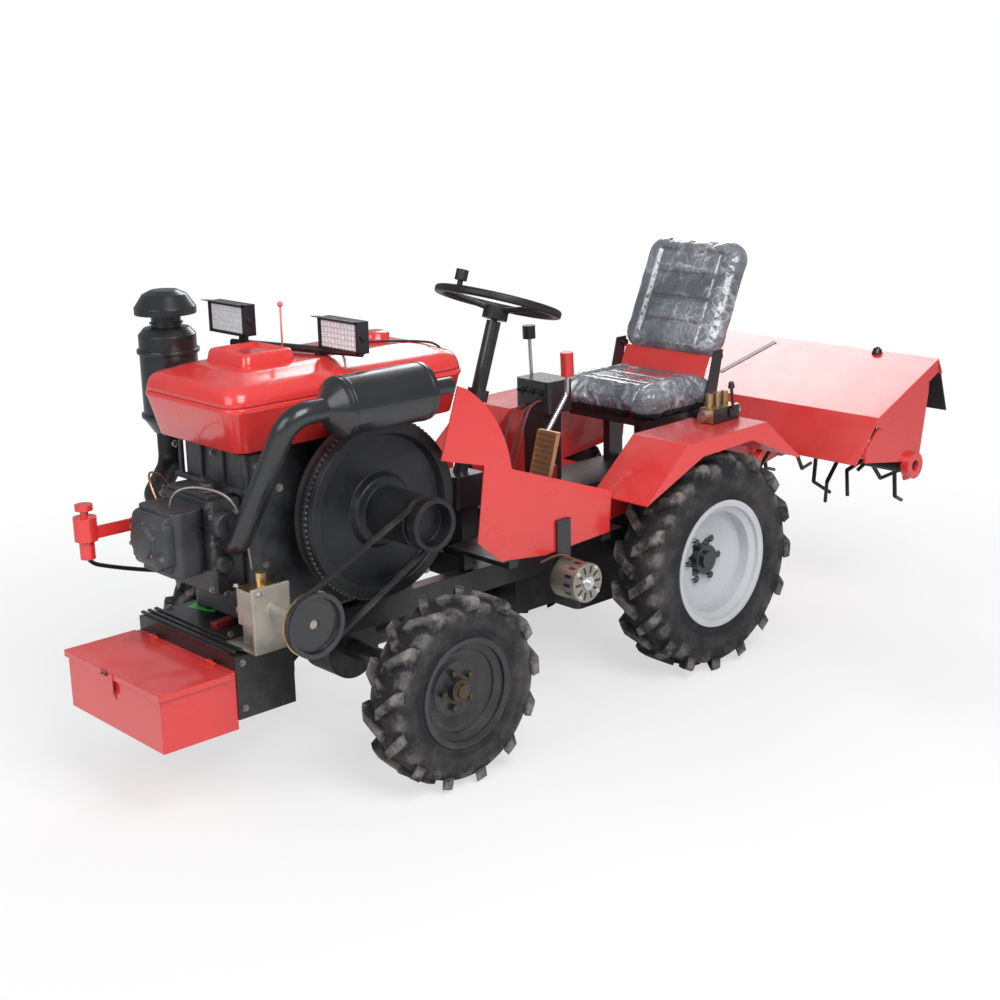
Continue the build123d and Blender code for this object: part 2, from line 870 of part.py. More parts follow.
# Drive belt: two tangent runs round the two grooves
with BuildPart() as drive_belt:
    wrap_a = hub_pulley_radius - groove + running_gap
    wrap_b = pump_pulley_radius - groove + running_gap
    with BuildSketch(lengthwise(belt_y + belt_width / 2 - 2)) as loop:
        with Locations((crank_x, crank_z)):
            Circle(wrap_a + belt_height)
        with Locations((pump_pulley_x, pump_pulley_z)):
            Circle(wrap_b + belt_height)
        make_hull()
    with BuildSketch(lengthwise(belt_y + belt_width / 2 - 2)) as hole:
        with Locations((crank_x, crank_z)):
            Circle(wrap_a)
        with Locations((pump_pulley_x, pump_pulley_z)):
            Circle(wrap_b)
        make_hull()
    extrude(loop.sketch, amount=belt_width - 4)
    extrude(hole.sketch, amount=belt_width - 4, mode=Mode.SUBTRACT)
save(drive_belt.part, "drive_belt")

# Lamp frame: crossbar over the hood, two stems and two lamp housings
with BuildPart() as lamp_frame:
    for place in (lamp_left, lamp_right):
        x, y, z = place
        block(
            (x - lamp_depth, x),
            (y - lamp_width / 2, y + lamp_width / 2),
            (z - lamp_height / 2, z + lamp_height / 2),
        )
        block(
            (x - 8, x + 1),
            (y - lamp_width / 2 + 8, y + lamp_width / 2 - 8),
            (z - lamp_height / 2 + 8, z + lamp_height / 2 - 8),
            mode=Mode.SUBTRACT,
        )
    bar_z = hood_top + 14
    bar_back = lamp_depth + 13
    left_x, left_y, left_z = lamp_left
    right_x, right_y, right_z = lamp_right
    bar_left = (left_x - bar_back, left_y + 40, bar_z)
    bar_right = (right_x - bar_back, right_y - 60, bar_z)
    rod(bar_left, bar_right, 11)
    for x, y, z in (lamp_left, lamp_right):
        block((x - bar_back - 10, x - bar_back + 6), (y - 14, y + 14), (bar_z, z + 10))
        block((x - bar_back, x - lamp_depth + 1), (y - 14, y + 14), (z - 10, z + 10))
    # feet on the flat top of the hood
    bar_slope = (bar_left[0] - bar_right[0]) / (bar_left[1] - bar_right[1])
    for y in (-85, 85):
        x = bar_left[0] + (y - bar_left[1]) * bar_slope
        block((x - 16, x + 16), (y - 12, y + 12), (hood_top + running_gap, bar_z))
save(lamp_frame.part, "lamp_frame")

with BuildPart() as lamp_lenses:
    for place in (lamp_left, lamp_right):
        x, y, z = place
        block(
            (x - 8 + running_gap, x - 2),
            (y - lamp_width / 2 + 8 + running_gap, y + lamp_width / 2 - 8 - running_gap),
            (z - lamp_height / 2 + 8 + running_gap, z + lamp_height / 2 - 8 - running_gap),
        )
save(lamp_lenses.part, "lamp_lenses")

# Front axle: beam with a round differential housing, input nose, pivot and kingpin yokes
yoke_half = kingpin_height / 2
axle_z = front_tyre_radius
with BuildPart() as front_axle:
    rod((front_axle_x, -kingpin_y + 46, axle_z), (front_axle_x, kingpin_y - 46, axle_z), 30)
    rod((front_axle_x, -78, axle_z), (front_axle_x, 58, axle_z), 98)
    rod((front_axle_x - 190, -10, axle_z), (front_axle_x - 60, -10, axle_z), 42)
    rod((gearbox_front_x + running_gap, -10, axle_z), (front_axle_x - 180, -10, axle_z), 24)
    # rocking pivot under the rails
    rod((front_axle_x - 70, 0, axle_z + 60), (front_axle_x + 70, 0, axle_z + 60), 26)
    block(
        (front_axle_x - 60, front_axle_x + 60),
        (-40, 40),
        (axle_z + 60, rail_bottom - running_gap),
    )
    for side in (1, -1):
        ear = (side * (kingpin_y - 50), side * (kingpin_y + 26))
        ear_span = (min(ear), max(ear))
        for z in (axle_z + yoke_half, axle_z - yoke_half - yoke_wall):
            block((front_axle_x - 26, front_axle_x + 26), ear_span, (z, z + yoke_wall), corner=12)
        web = (side * (kingpin_y - 52), side * (kingpin_y - 40))
        block(
            (front_axle_x - 26, front_axle_x + 26),
            (min(web), max(web)),
            (axle_z - yoke_half - yoke_wall, axle_z + yoke_half + yoke_wall),
        )
        for z in (axle_z + yoke_half - 1, axle_z - yoke_half - yoke_wall - 1):
            rod(
                (front_axle_x, side * kingpin_y, z),
                (front_axle_x, side * kingpin_y, z + yoke_wall + 2),
                kingpin_radius * 0.75 + running_gap,
                mode=Mode.SUBTRACT,
            )
save(front_axle.part, "front_axle")

# Steering knuckles, tie rod
hub_end_y = front_wheel_y + front_dish["face_y"] - 6 - running_gap
tie_z = axle_z - tie_rod_drop
with BuildPart() as knuckle_left:
    lower = axle_z - yoke_half + running_gap
    upper = axle_z + yoke_half - running_gap
    rod((front_axle_x, kingpin_y, lower), (front_axle_x, kingpin_y, upper), 26)
    rod(
        (front_axle_x, kingpin_y, lower - yoke_wall - 4),
        (front_axle_x, kingpin_y, upper + yoke_wall + 4),
        kingpin_radius * 0.75,
    )
    rod((front_axle_x, kingpin_y, axle_z), (front_axle_x, hub_end_y, axle_z), 24)
    rod((front_axle_x, hub_end_y - 40, axle_z), (front_axle_x, hub_end_y, axle_z), 62)
    block(
        (front_axle_x - steer_arm - 16, front_axle_x - 10),
        (kingpin_y - 16, kingpin_y + 16),
        (lower, lower + 14),
        corner=8,
    )
    rod(
        (front_axle_x - steer_arm, kingpin_y, tie_z - 16),
        (front_axle_x - steer_arm, kingpin_y, lower + 10),
        7,
    )
with BuildPart() as knuckle_right:
    mirror(knuckle_left.part, about=Plane.XZ)
save(knuckle_left.part, "knuckle_left")
save(knuckle_right.part, "knuckle_right")

with BuildPart() as tie_rod:
    tie_x = front_axle_x - steer_arm
    rod((tie_x, -kingpin_y + 14, tie_z - 8), (tie_x, kingpin_y - 14, tie_z - 8), tie_rod_radius)
    for side in (1, -1):
        rod(
            (tie_x, side * kingpin_y, tie_z - 20),
            (tie_x, side * kingpin_y, tie_z + 4),
            20,
        )
    for side, play in ((1, running_gap), (-1, 1.5)):
        rod(
            (tie_x, side * kingpin_y, tie_z - 24),
            (tie_x, side * kingpin_y, tie_z + 8),
            7 + play,
            mode=Mode.SUBTRACT,
        )
save(tie_rod.part, "tie_rod")

# Gearbox and rear axle housing, with the hinge shaft of the tiller
rear_z = rear_tyre_radius
with BuildPart() as gearbox:
    block(
        (rear_axle_x - 150, rear_axle_x + 300),
        (-gearbox_half, gearbox_half),
        (gearbox_bottom, gearbox_top),
        corner=25,
    )
    block(
        (rear_axle_x + 290, gearbox_front_x),
        (-gearbox_half + 18, gearbox_half - 18),
        (gearbox_bottom + 50, rail_bottom - running_gap),
    )
    rod((rear_axle_x, -axle_tube_end, rear_z), (rear_axle_x, axle_tube_end, rear_z), axle_tube_radius)
    for side in (1, -1):
        rod(
            (rear_axle_x, side * (axle_tube_end - 10), rear_z),
            (rear_axle_x, side * (axle_tube_end + 8), rear_z),
            hub_flange_radius,
        )
        rod(
            (rear_axle_x, side * axle_tube_end, rear_z),
            (rear_axle_x, side * (rear_wheel_y + rear_dish["face_y"] - 6 - running_gap), rear_z),
            40,
        )
        ear = (side * 205, side * 219)
        side_slab(
            [
                (rear_axle_x - 60, 500),
                (hinge_x - 34, hinge_z + 34),
                (hinge_x - 34, hinge_z - 34),
                (rear_axle_x - 40, hinge_z - 60),
            ],
            max(ear),
            14,
        )
        web = (side * (gearbox_half - 5), side * 219)
        block((rear_axle_x - 130, rear_axle_x - 60), (min(web), max(web)), (hinge_z, hinge_z + 50))
    rod((hinge_x, -219, hinge_z), (hinge_x, 219, hinge_z), hinge_pin_radius)
    # lift cylinder clevis
    for y in (lift_y - 34, lift_y + 22):
        side_slab(
            [
                (rear_axle_x - 140, 300),
                (lift_base[0] - 20, lift_base[1] + 22),
                (lift_base[0] - 20, lift_base[1] - 22),
                (rear_axle_x - 140, 220),
            ],
            y + 12,
            12,
        )
    rod((lift_base[0], lift_y - 34, lift_base[1]), (lift_base[0], lift_y + 34, lift_base[1]), 12)
save(gearbox.part, "gearbox")

# Side panels: the curved cowl plate and the skirt plate below it, on both sides
with BuildPart() as side_panels:
    for side in (1, -1):
        start_y = panel_y + skin if side > 0 else -panel_y
        with BuildSketch(lengthwise(start_y)) as cowl:
            with BuildLine():
                Polyline(
                    (rear_axle_x + 854, 853),
                    (rear_axle_x + 1137, 929),
                    (rear_axle_x + 1065, 1140),
                    (rear_axle_x + 1030, 1126),
                )
                ThreePointArc(
                    (rear_axle_x + 1030, 1126),
                    (rear_axle_x + 926, 1030),
                    (rear_axle_x + 854, 853),
                )
            make_face()
        extrude(cowl.sketch, amount=skin)
        side_slab(
            [
                (rear_axle_x + 966, 890),
                (rear_axle_x + 1000, 647),
                (rear_axle_x + 908, 570),
                (rear_axle_x + 714, 546),
                (rear_axle_x + 420, 560),
                (rear_axle_x + 410, 697),
                (rear_axle_x + 850, 851),
                (rear_axle_x + 858, 862),
            ],
            start_y,
            skin,
        )
save(side_panels.part, "side_panels")

# Footboards: left and right boards between the side panels and the gearbox
with BuildPart() as footboards:
    for side in (1, -1):
        edge = (side * (gearbox_half + 4), side * (panel_y - running_gap))
        block(
            (footboard_rear_x, rear_axle_x + 900),
            (min(edge), max(edge)),
            (footboard_z, footboard_z + 4),
        )
        strut = (side * (rail_y - 10), side * (panel_y - 10))
        for x in (rear_axle_x + 400, rear_axle_x + 820):
            block((x, x + 40), (min(strut), max(strut)), (footboard_z - 30, footboard_z))
            post = (side * (rail_y - 15), side * (rail_y + 15))
            block((x, x + 40), (min(post), max(post)), (rail_top + running_gap, footboard_z))
save(footboards.part, "footboards")

# Fenders: top sheet with sloping ends, outer skirt with its arch, inner wall
fender_line = (
    (rear_axle_x + 406, 671),
    (rear_axle_x + 208, fender_top - 4),
    (rear_axle_x - 203, fender_top + 4),
    (rear_axle_x - 400, 690),
)
with BuildPart() as fenders:
    for side in (1, -1):
        outer_face = fender_outer if side > 0 else -fender_inner
        under = [(x, z - skin) for x, z in reversed(fender_line)]
        side_slab(list(fender_line) + under, outer_face, fender_outer - fender_inner)
        skirt_face = fender_outer if side > 0 else -fender_outer + skin
        side_slab(
            list(fender_line)
            + [
                (rear_axle_x - 380, 690),
                (rear_axle_x - 128, 795),
                (rear_axle_x + 130, 785),
            ],
            skirt_face,
            skin,
        )
        stay = (side * (gearbox_half + running_gap), side * (fender_inner + 1))
        block((rear_axle_x - 60, rear_axle_x + 20), (min(stay), max(stay)), (600, 606))
        block((rear_axle_x - 60, rear_axle_x + 20), (side * 300 - 3, side * 300 + 3), (600, 650))
        wall_face = fender_inner + skin if side > 0 else -fender_inner
        side_slab(
            list(fender_line)
            + [
                (rear_axle_x - 395, 640),
                (rear_axle_x + 330, 565),
            ],
            wall_face,
            skin,
        )
save(fenders.part, "fenders")

# Steering column with its worm box and bracket
lean = math.radians(steering_lean)
column_dir = (-math.sin(lean), 0.0, math.cos(lean))


def on_column(distance):
    """A point on the column's axis, this far below the steering wheel's hub."""
    return tuple(hub - distance * step for hub, step in zip(steering_hub, column_dir))


with BuildPart() as steering_column:
    rod(on_column(560), on_column(34), 24)
    rod(on_column(40), on_column(-2), steering_shaft_radius)
    rod(on_column(300), on_column(262), 36)
    foot = on_column(560)
    block((foot[0] - 60, foot[0] + 60), (-60, 60), (foot[2] - 90, foot[2] + 20), corner=18)
    block(
        (steering_foot_x - 36, steering_foot_x + 36),
        (-50, 50),
        (rail_top + running_gap, foot[2] - 85),
    )
save(steering_column.part, "steering_column")

# Steering wheel: rim, three spokes, hub and spinner knob
with BuildPart() as steering_wheel:
    wheel_plane = Plane(origin=steering_hub, x_dir=(math.cos(lean), 0, math.sin(lean)), z_dir=column_dir)
    section_plane = Plane(origin=steering_hub, x_dir=wheel_plane.x_dir, z_dir=(0, -1, 0))
    with BuildSketch(section_plane) as rim_section:
        with Locations((steering_wheel_radius - steering_rim_radius, 30)):
            RectangleRounded(2 * steering_rim_radius, 2 * steering_rim_radius - 2, 9)
    revolve(rim_section.sketch, axis=Axis(steering_hub, column_dir))
    rod(on_column(28), on_column(-12), 42)
    for angle in (90, 210, 330):
        bearing = math.radians(angle)
        tip = wheel_plane.from_local_coords(
            Vector(
                (steering_wheel_radius - 14) * math.cos(bearing),
                (steering_wheel_radius - 14) * math.sin(bearing),
                28,
            )
        )
        rod(on_column(0), tuple(tip), 9)
    rod(on_column(29), on_column(-5), steering_shaft_radius + running_gap, mode=Mode.SUBTRACT)
    # spinner knob on the rim
    knob_bearing = math.radians(spinner_angle)
    knob_x = (steering_wheel_radius - steering_rim_radius) * math.cos(knob_bearing)
    knob_y = (steering_wheel_radius - steering_rim_radius) * math.sin(knob_bearing)
    knob_foot = tuple(wheel_plane.from_local_coords(Vector(knob_x, knob_y, 36)))
    knob_neck = tuple(wheel_plane.from_local_coords(Vector(knob_x, knob_y, 58)))
    knob_tip = tuple(wheel_plane.from_local_coords(Vector(knob_x, knob_y, 92)))
    rod(knob_foot, knob_neck, 9)
    rod(knob_neck, knob_tip, 20)
save(steering_wheel.part, "steering_wheel")

# Console box with levers
with BuildPart() as console_box:
    block((console_x - 60, console_x + 60), (-80, 80), (900, 1010), corner=16)
    block((console_x - 30, console_x + 50), (-50, 50), (gearbox_top - 245, 901))
save(console_box.part, "console_box")

with BuildPart() as control_levers:
    rod((console_x + 10, -50, 1010 + running_gap), (console_x + 14, -55, 1150), 6)
    rod((console_x + 14, -55, 1140), (console_x + 15, -56, 1185), 22)
    bent_tube(
        [
            (rear_axle_x + 480, 150, footboard_z + 4 + running_gap),
            (rear_axle_x + 480, 150, 850),
            (rear_axle_x + 372, 150, 980),
            (rear_axle_x + 368, 150, 1060),
        ],
        [60, 40],
        8,
    )
    rod((rear_axle_x + 368, 150, 1040), (rear_axle_x + 372, 150, 1120), 22)
save(control_levers.part, "control_levers")

with BuildPart() as brake_pedal:
    block(
        (rear_axle_x + 545, rear_axle_x + 585),
        (235, 265),
        (footboard_z + 4 + running_gap, footboard_z + 24),
    )
    rod((rear_axle_x + 565, 250, footboard_z + 16), (rear_axle_x + 590, 250, 760), 9)
    side_slab(
        [
            (rear_axle_x + 595, 745),
            (rear_axle_x + 605, 745),
            (rear_axle_x + 560, 900),
            (rear_axle_x + 548, 900),
        ],
        295,
        90,
    )
save(brake_pedal.part, "brake_pedal")

# Seat frame, cushion and backrest
with BuildPart() as seat_frame:
    block(
        (cushion_rear_x + 20, cushion_front_x - 20),
        (-seat_half + 22, seat_half - 22),
        (cushion_bottom - 30, cushion_bottom - running_gap),
    )
    for side in (1, -1):
        ends = (side * 60, side * 90)
        block(
            (rear_axle_x - 130, rear_axle_x - 60),
            (min(ends), max(ends)),
            (gearbox_top + running_gap, cushion_bottom - 29),
        )
        start_y = seat_half + 14 if side > 0 else -seat_half - 8
        side_slab(
            [
                (cushion_rear_x + 120, cushion_bottom - 30),
                (cushion_rear_x + 60, cushion_bottom - 30),
                (back_bottom_x - 70, back_bottom_z + 60),
                (back_bottom_x - 20, back_bottom_z + 60),
            ],
            start_y,
            6,
        )
        arm = (side * (seat_half - 30), side * (seat_half + 14))
        block(
            (cushion_rear_x + 60, cushion_rear_x + 120),
            (min(arm), max(arm)),
            (cushion_bottom - 30, cushion_bottom - 22),
        )
        pin = (side * (seat_half + running_gap), side * (seat_half + 12))
        rod(
            (back_bottom_x - 58, min(pin), back_bottom_z + 36),
            (back_bottom_x - 58, max(pin), back_bottom_z + 36),
            14,
        )
save(seat_frame.part, "seat_frame")

with BuildPart() as seat_cushion:
    block(
        (cushion_rear_x, cushion_front_x),
        (-seat_half, seat_half),
        (cushion_bottom, cushion_top),
        corner=45,
    )
save(seat_cushion.part, "seat_cushion")

recline = math.atan2(back_bottom_x - back_top_x, back_top_z - back_bottom_z)
with BuildPart() as seat_backrest:
    back_up = (-math.sin(recline), 0, math.cos(recline))
    back_length = math.hypot(back_bottom_x - back_top_x, back_top_z - back_bottom_z)
    back_plane = Plane(
        origin=((back_bottom_x + back_top_x) / 2, 0, (back_bottom_z + back_top_z) / 2),
        x_dir=(0, 1, 0),
        z_dir=(-math.cos(recline), 0, -math.sin(recline)),
    )
    with BuildSketch(back_plane) as back_outline:
        RectangleRounded(2 * seat_half, back_length, 50)
    extrude(back_outline.sketch, amount=back_thickness)
save(seat_backrest.part, "seat_backrest")

# Hydraulic valve on the left fender
with BuildPart() as hydraulic_valve:
    valve_x = rear_axle_x - 120.0
    valve_z = fender_top + 4 + running_gap
    block((valve_x - 70, valve_x + 70), (370, 430), (valve_z, valve_z + 50))
    rod((valve_x - 95, 400, valve_z + 28), (valve_x + 95, 400, valve_z + 28), 17)
    for x in (valve_x - 40, valve_x, valve_x + 40):
        rod((x, 388, valve_z + 49), (x, 388, valve_z + 95), 13)
save(hydraulic_valve.part, "hydraulic_valve")

# Alternator on its bracket outside the left skirt plate
with BuildPart() as alternator:
    alt_x = rear_axle_x + 640.0
    alt_z = 462.0
    rod((alt_x, panel_y + 12, alt_z), (alt_x, 500, alt_z), 64)
    block(
        (alt_x - 30, alt_x + 30),
        (panel_y + skin + running_gap, panel_y + skin + 9),
        (alt_z - 40, 650),
    )
    rod((alt_x, panel_y + skin + running_gap, alt_z), (alt_x, panel_y + 20, alt_z), 30)
save(alternator.part, "alternator")

# Tiller frame: chain case, two arms, cross tube, side plates
with BuildPart() as tiller_frame:
    cross_x = rear_axle_x - 712.0
    cross_z = 664.0
    bore = hinge_pin_radius + running_gap
    tube_end = tiller_half - hood_sheet - plate_wall / 2
    rod((cross_x, -tube_end, cross_z), (cross_x, tube_end, cross_z), 32)
    for y in (arm_y, -arm_y):
        side_slab(
            [
                (hinge_x + 10, hinge_z + 34),
                (rear_axle_x - 590, 552),
                (cross_x - 20, cross_z + 14),
                (cross_x + 22, cross_z - 30),
                (rear_axle_x - 600, 480),
                (hinge_x + 10, hinge_z - 34),
            ],
            y + 14,
            28,
        )
        rod((hinge_x, y - 20, hinge_z), (hinge_x, y + 20, hinge_z), 42)
    rod((hinge_x, -34, hinge_z), (hinge_x, 34, hinge_z), 48)
    side_slab(
        [
            (hinge_x, hinge_z + 46),
            (rotor_x + 10, rotor_z + 52),
            (rotor_x - 52, rotor_z),
            (rotor_x + 10, rotor_z - 52),
            (hinge_x, hinge_z - 46),
        ],
        28,
        56,
    )
    rod((rotor_x, -28, rotor_z), (rotor_x, 28, rotor_z), 62)
    block((cross_x - 30, cross_x + 30), (-40, 40), (cross_z - 140, cross_z))
    for y in (arm_y, -arm_y, 0):
        rod((hinge_x, y - 60, hinge_z), (hinge_x, y + 60, hinge_z), bore, mode=Mode.SUBTRACT)
    rod((rotor_x, -80, rotor_z), (rotor_x, 80, rotor_z), 26 + running_gap, mode=Mode.SUBTRACT)
    # lug for the lift cylinder's rod, on a bar between chain case and left arm
    block(
        (lift_eye[0] - 20, lift_eye[0] + 20),
        (20, arm_y),
        (lift_eye[1] + 24, lift_eye[1] + 60),
    )
    for side in (1, -1):
        lug = (lift_y + side * lift_lug_gap, lift_y + side * (lift_lug_gap + lift_lug_wall))
        block(
            (lift_eye[0] - 20, lift_eye[0] + 20),
            (min(lug), max(lug)),
            (lift_eye[1] - 20, lift_eye[1] + 40),
        )
        head = lift_y + side * (lift_lug_gap + lift_lug_wall + 6)
        rod((lift_eye[0], lug[1] - side, lift_eye[1]), (lift_eye[0], head, lift_eye[1]), 14)
    # bearing plates at both ends of the rotor, bolted inside the hood's side flanges
    for side in (1, -1):
        plate_out = tiller_half - hood_sheet - running_gap
        start_y = plate_out if side > 0 else -plate_out + plate_wall
        side_slab(
            [
                (rear_axle_x - 826, 790),
                (rear_axle_x - 1086, 902),
                (rear_axle_x - 1086, 830),
                (rotor_x - 55, rotor_z + 10),
                (rotor_x - 30, rotor_z - 55),
                (rotor_x + 30, rotor_z - 55),
                (rotor_x + 50, rotor_z + 20),
                (cross_x + 24, cross_z - 40),
                (cross_x + 20, cross_z + 10),
            ],
            start_y,
            plate_wall,
        )
        hub = (side * (plate_out - plate_wall), side * (plate_out + 22))
        rod((rotor_x, min(hub), rotor_z), (rotor_x, max(hub), rotor_z), 50)
        rod(
            (rotor_x, min(hub) - 5, rotor_z),
            (rotor_x, max(hub) + 5, rotor_z),
            20 + running_gap,
            mode=Mode.SUBTRACT,
        )
save(tiller_frame.part, "tiller_frame")

# Tiller hood: top sheet and front skirt, folded from one sheet
with BuildPart() as tiller_hood:
    fold_x, fold_z = hood_front_edge
    rear_x, rear_edge_z = hood_rear_edge
    foot_x, foot_z = skirt_foot
    side_slab(
        [
            (foot_x, foot_z),
            (fold_x, fold_z),
            (rear_x, rear_edge_z),
            (rear_x - 30, rear_edge_z - 60),
            (rear_x - 26, rear_edge_z - 60),
            (rear_x + 3, rear_edge_z - hood_sheet - 1),
            (fold_x - 2, fold_z - hood_sheet - 1),
            (foot_x - 4, foot_z - 2),
        ],
        tiller_half,
        2 * tiller_half,
    )
    # side flanges under both ends of the sheet
    for start_y in (tiller_half, -tiller_half + hood_sheet):
        side_slab(
            [
                (fold_x + 20, fold_z - 24),
                (fold_x, fold_z),
                (rear_x, rear_edge_z),
                (rear_x, rear_edge_z - flange_depth),
                (fold_x - 30, fold_z - flange_depth),
            ],
            start_y,
            hood_sheet,
        )
save(tiller_hood.part, "tiller_hood")

# Rubber flap behind the hood
with BuildPart() as tiller_flap:
    hem_gap = running_gap * 1.12
    side_slab(
        [
            (rear_x - 10 - hem_gap, rear_edge_z - 20),
            (rear_x - 17 - hem_gap, rear_edge_z - 20),
            (rear_x - 37 - hem_gap, rear_edge_z - 60),
            (rear_x - 90, 735),
            (rear_x - 83, 735),
            (rear_x - 30 - hem_gap, rear_edge_z - 60),
        ],
        tiller_half - 10,
        2 * tiller_half - 20,
    )
save(tiller_flap.part, "tiller_flap")

# Tiller rotor: tube, flanges and curved tines in two halves
tine_stations = 5
first_tine_y = 75.0
tine_pitch = (rotor_half - first_tine_y - 28) / (tine_stations - 1)
with BuildPart() as tiller_rotor:
    rod((rotor_x, -tiller_half - 4, rotor_z), (rotor_x, tiller_half + 4, rotor_z), 20)
    rod((rotor_x, -40, rotor_z), (rotor_x, 40, rotor_z), 26)
    for side in (1, -1):
        tube = (side * 36, side * rotor_half)
        rod((rotor_x, min(tube), rotor_z), (rotor_x, max(tube), rotor_z), rotor_tube_radius)
        for station in range(tine_stations):
            y = side * (first_tine_y + station * tine_pitch)
            for turn in (0, 120, 240):
                angle = math.radians(turn + station * 36 + (18 if side < 0 else 0))
                bend = angle - math.radians(24)
                root = (rotor_x + 30 * math.cos(angle), y, rotor_z + 30 * math.sin(angle))
                knee_radius = tine_radius * 0.66
                knee = (
                    rotor_x + knee_radius * math.cos(angle),
                    y,
                    rotor_z + knee_radius * math.sin(angle),
                )
                tip_radius = tine_radius - 8
                tip = (
                    rotor_x + tip_radius * math.cos(bend),
                    y + 26 * (1 if (turn + station) % 2 else -1),
                    rotor_z + tip_radius * math.sin(bend),
                )
                rod(root, knee, 8)
                rod(knee, tip, 7)
save(tiller_rotor.part, "tiller_rotor")

# Lift cylinder: barrel on the gearbox clevis, rod to the tiller frame's lug
lift_run = Vector(lift_eye[0] - lift_base[0], 0, lift_eye[1] - lift_base[1])
lift_dir = lift_run.normalized()
base = Vector(lift_base[0], lift_y, lift_base[1])
eye = Vector(lift_eye[0], lift_y, lift_eye[1])
barrel_end = base + lift_dir * lift_barrel_length
with BuildPart() as lift_barrel:
    rod((base.X, lift_y - 19, base.Z), (base.X, lift_y + 19, base.Z), 24)
    rod(tuple(base + lift_dir * 10), tuple(base + lift_dir * 50), 16)
    rod(tuple(base + lift_dir * 46), tuple(barrel_end), 27)
    rod(tuple(base + lift_dir * 60), tuple(barrel_end + lift_dir * 5), 14 + running_gap, Mode.SUBTRACT)
    rod(
        (base.X, lift_y - 30, base.Z),
        (base.X, lift_y + 30, base.Z),
        12 + running_gap,
        mode=Mode.SUBTRACT,
    )
save(lift_barrel.part, "lift_barrel")

with BuildPart() as lift_rod:
    rod(tuple(base + lift_dir * 165), tuple(eye - lift_dir * 16), 14)
    eye_half = lift_lug_gap - running_gap
    rod((eye.X, lift_y - eye_half, eye.Z), (eye.X, lift_y + eye_half, eye.Z), 18)
save(lift_rod.part, "lift_rod")
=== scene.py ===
import json
import math

import bmesh
import bpy
from mathutils import Euler, Matrix, Vector, noise


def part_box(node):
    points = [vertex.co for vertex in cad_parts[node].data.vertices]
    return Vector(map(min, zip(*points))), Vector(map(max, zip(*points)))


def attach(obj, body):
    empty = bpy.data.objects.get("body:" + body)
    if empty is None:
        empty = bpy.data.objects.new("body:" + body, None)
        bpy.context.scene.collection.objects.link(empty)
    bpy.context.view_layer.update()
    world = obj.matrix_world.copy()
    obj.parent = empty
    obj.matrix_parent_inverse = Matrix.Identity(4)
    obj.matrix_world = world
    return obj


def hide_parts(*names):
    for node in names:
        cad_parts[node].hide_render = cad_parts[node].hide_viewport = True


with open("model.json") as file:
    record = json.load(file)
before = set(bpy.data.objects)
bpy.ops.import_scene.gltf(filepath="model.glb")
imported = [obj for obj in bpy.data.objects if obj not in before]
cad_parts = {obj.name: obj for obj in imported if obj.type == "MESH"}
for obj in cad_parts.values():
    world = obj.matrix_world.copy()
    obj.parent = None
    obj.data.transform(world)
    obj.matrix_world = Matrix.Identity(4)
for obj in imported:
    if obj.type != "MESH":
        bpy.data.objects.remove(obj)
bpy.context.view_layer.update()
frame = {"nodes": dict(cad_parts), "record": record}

# Places shared by several pieces, in metres, measured from the rear axle along +X
tyre_low, tyre_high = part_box("tyre_rear_left")
rear_axle_x = (tyre_low.x + tyre_high.x) / 2
rear_axle_z = (tyre_low.z + tyre_high.z) / 2

# Places measured from the rear axle
front_axle_x, front_axle_z = 1.234, 0.290
crank_x, crank_z = 1.300, 0.800
pump_pulley_x, pump_pulley_z = 1.702, 0.600
rocker_cover_x = 1.868
lamp_places = ((1.335, 0.185, 1.300), (1.470, -0.175, 1.330))

# Camera: fitted to the tyres and straight edges of the photograph
camera_place = Vector((4.0405 + rear_axle_x, 3.7625, 2.0226))
camera_yaw = -2.3176
camera_pitch = 0.2714
camera_roll = 0.0204
focal_pixels = 1574.3
photo_pixels = 1000.0
centre_u = 497.5
centre_v = 507.7
sensor_mm = 36.0


def make_camera():
    """A camera at the photograph's viewing angle."""
    data = bpy.data.cameras.new("camera")
    data.sensor_width = sensor_mm
    data.lens = focal_pixels / photo_pixels * sensor_mm
    data.shift_x = (photo_pixels / 2 - centre_u) / photo_pixels
    data.shift_y = (centre_v - photo_pixels / 2) / photo_pixels
    data.clip_end = 60.0
    camera = bpy.data.objects.new("camera", data)
    bpy.context.scene.collection.objects.link(camera)
    forward = Vector(
        (
            math.cos(camera_yaw) * math.cos(camera_pitch),
            math.sin(camera_yaw) * math.cos(camera_pitch),
            -math.sin(camera_pitch),
        )
    )
    level = forward.cross(Vector((0, 0, 1))).normalized()
    down = forward.cross(level)
    right = math.cos(camera_roll) * level + math.sin(camera_roll) * down
    up = math.sin(camera_roll) * level - math.cos(camera_roll) * down
    turn = Matrix((right, up, -forward)).transposed()
    camera.matrix_world = Matrix.Translation(camera_place) @ turn.to_4x4()
    bpy.context.scene.camera = camera


def area_lamp(name, place, target, size, power):
    """A soft square lamp that looks at a point."""
    data = bpy.data.lights.new(name, "AREA")
    data.shape = "SQUARE"
    data.size = size
    data.energy = power
    lamp = bpy.data.objects.new(name, data)
    bpy.context.scene.collection.objects.link(lamp)
    lamp.location = place
    aim = Vector(target) - Vector(place)
    lamp.rotation_euler = aim.to_track_quat("-Z", "Y").to_euler()


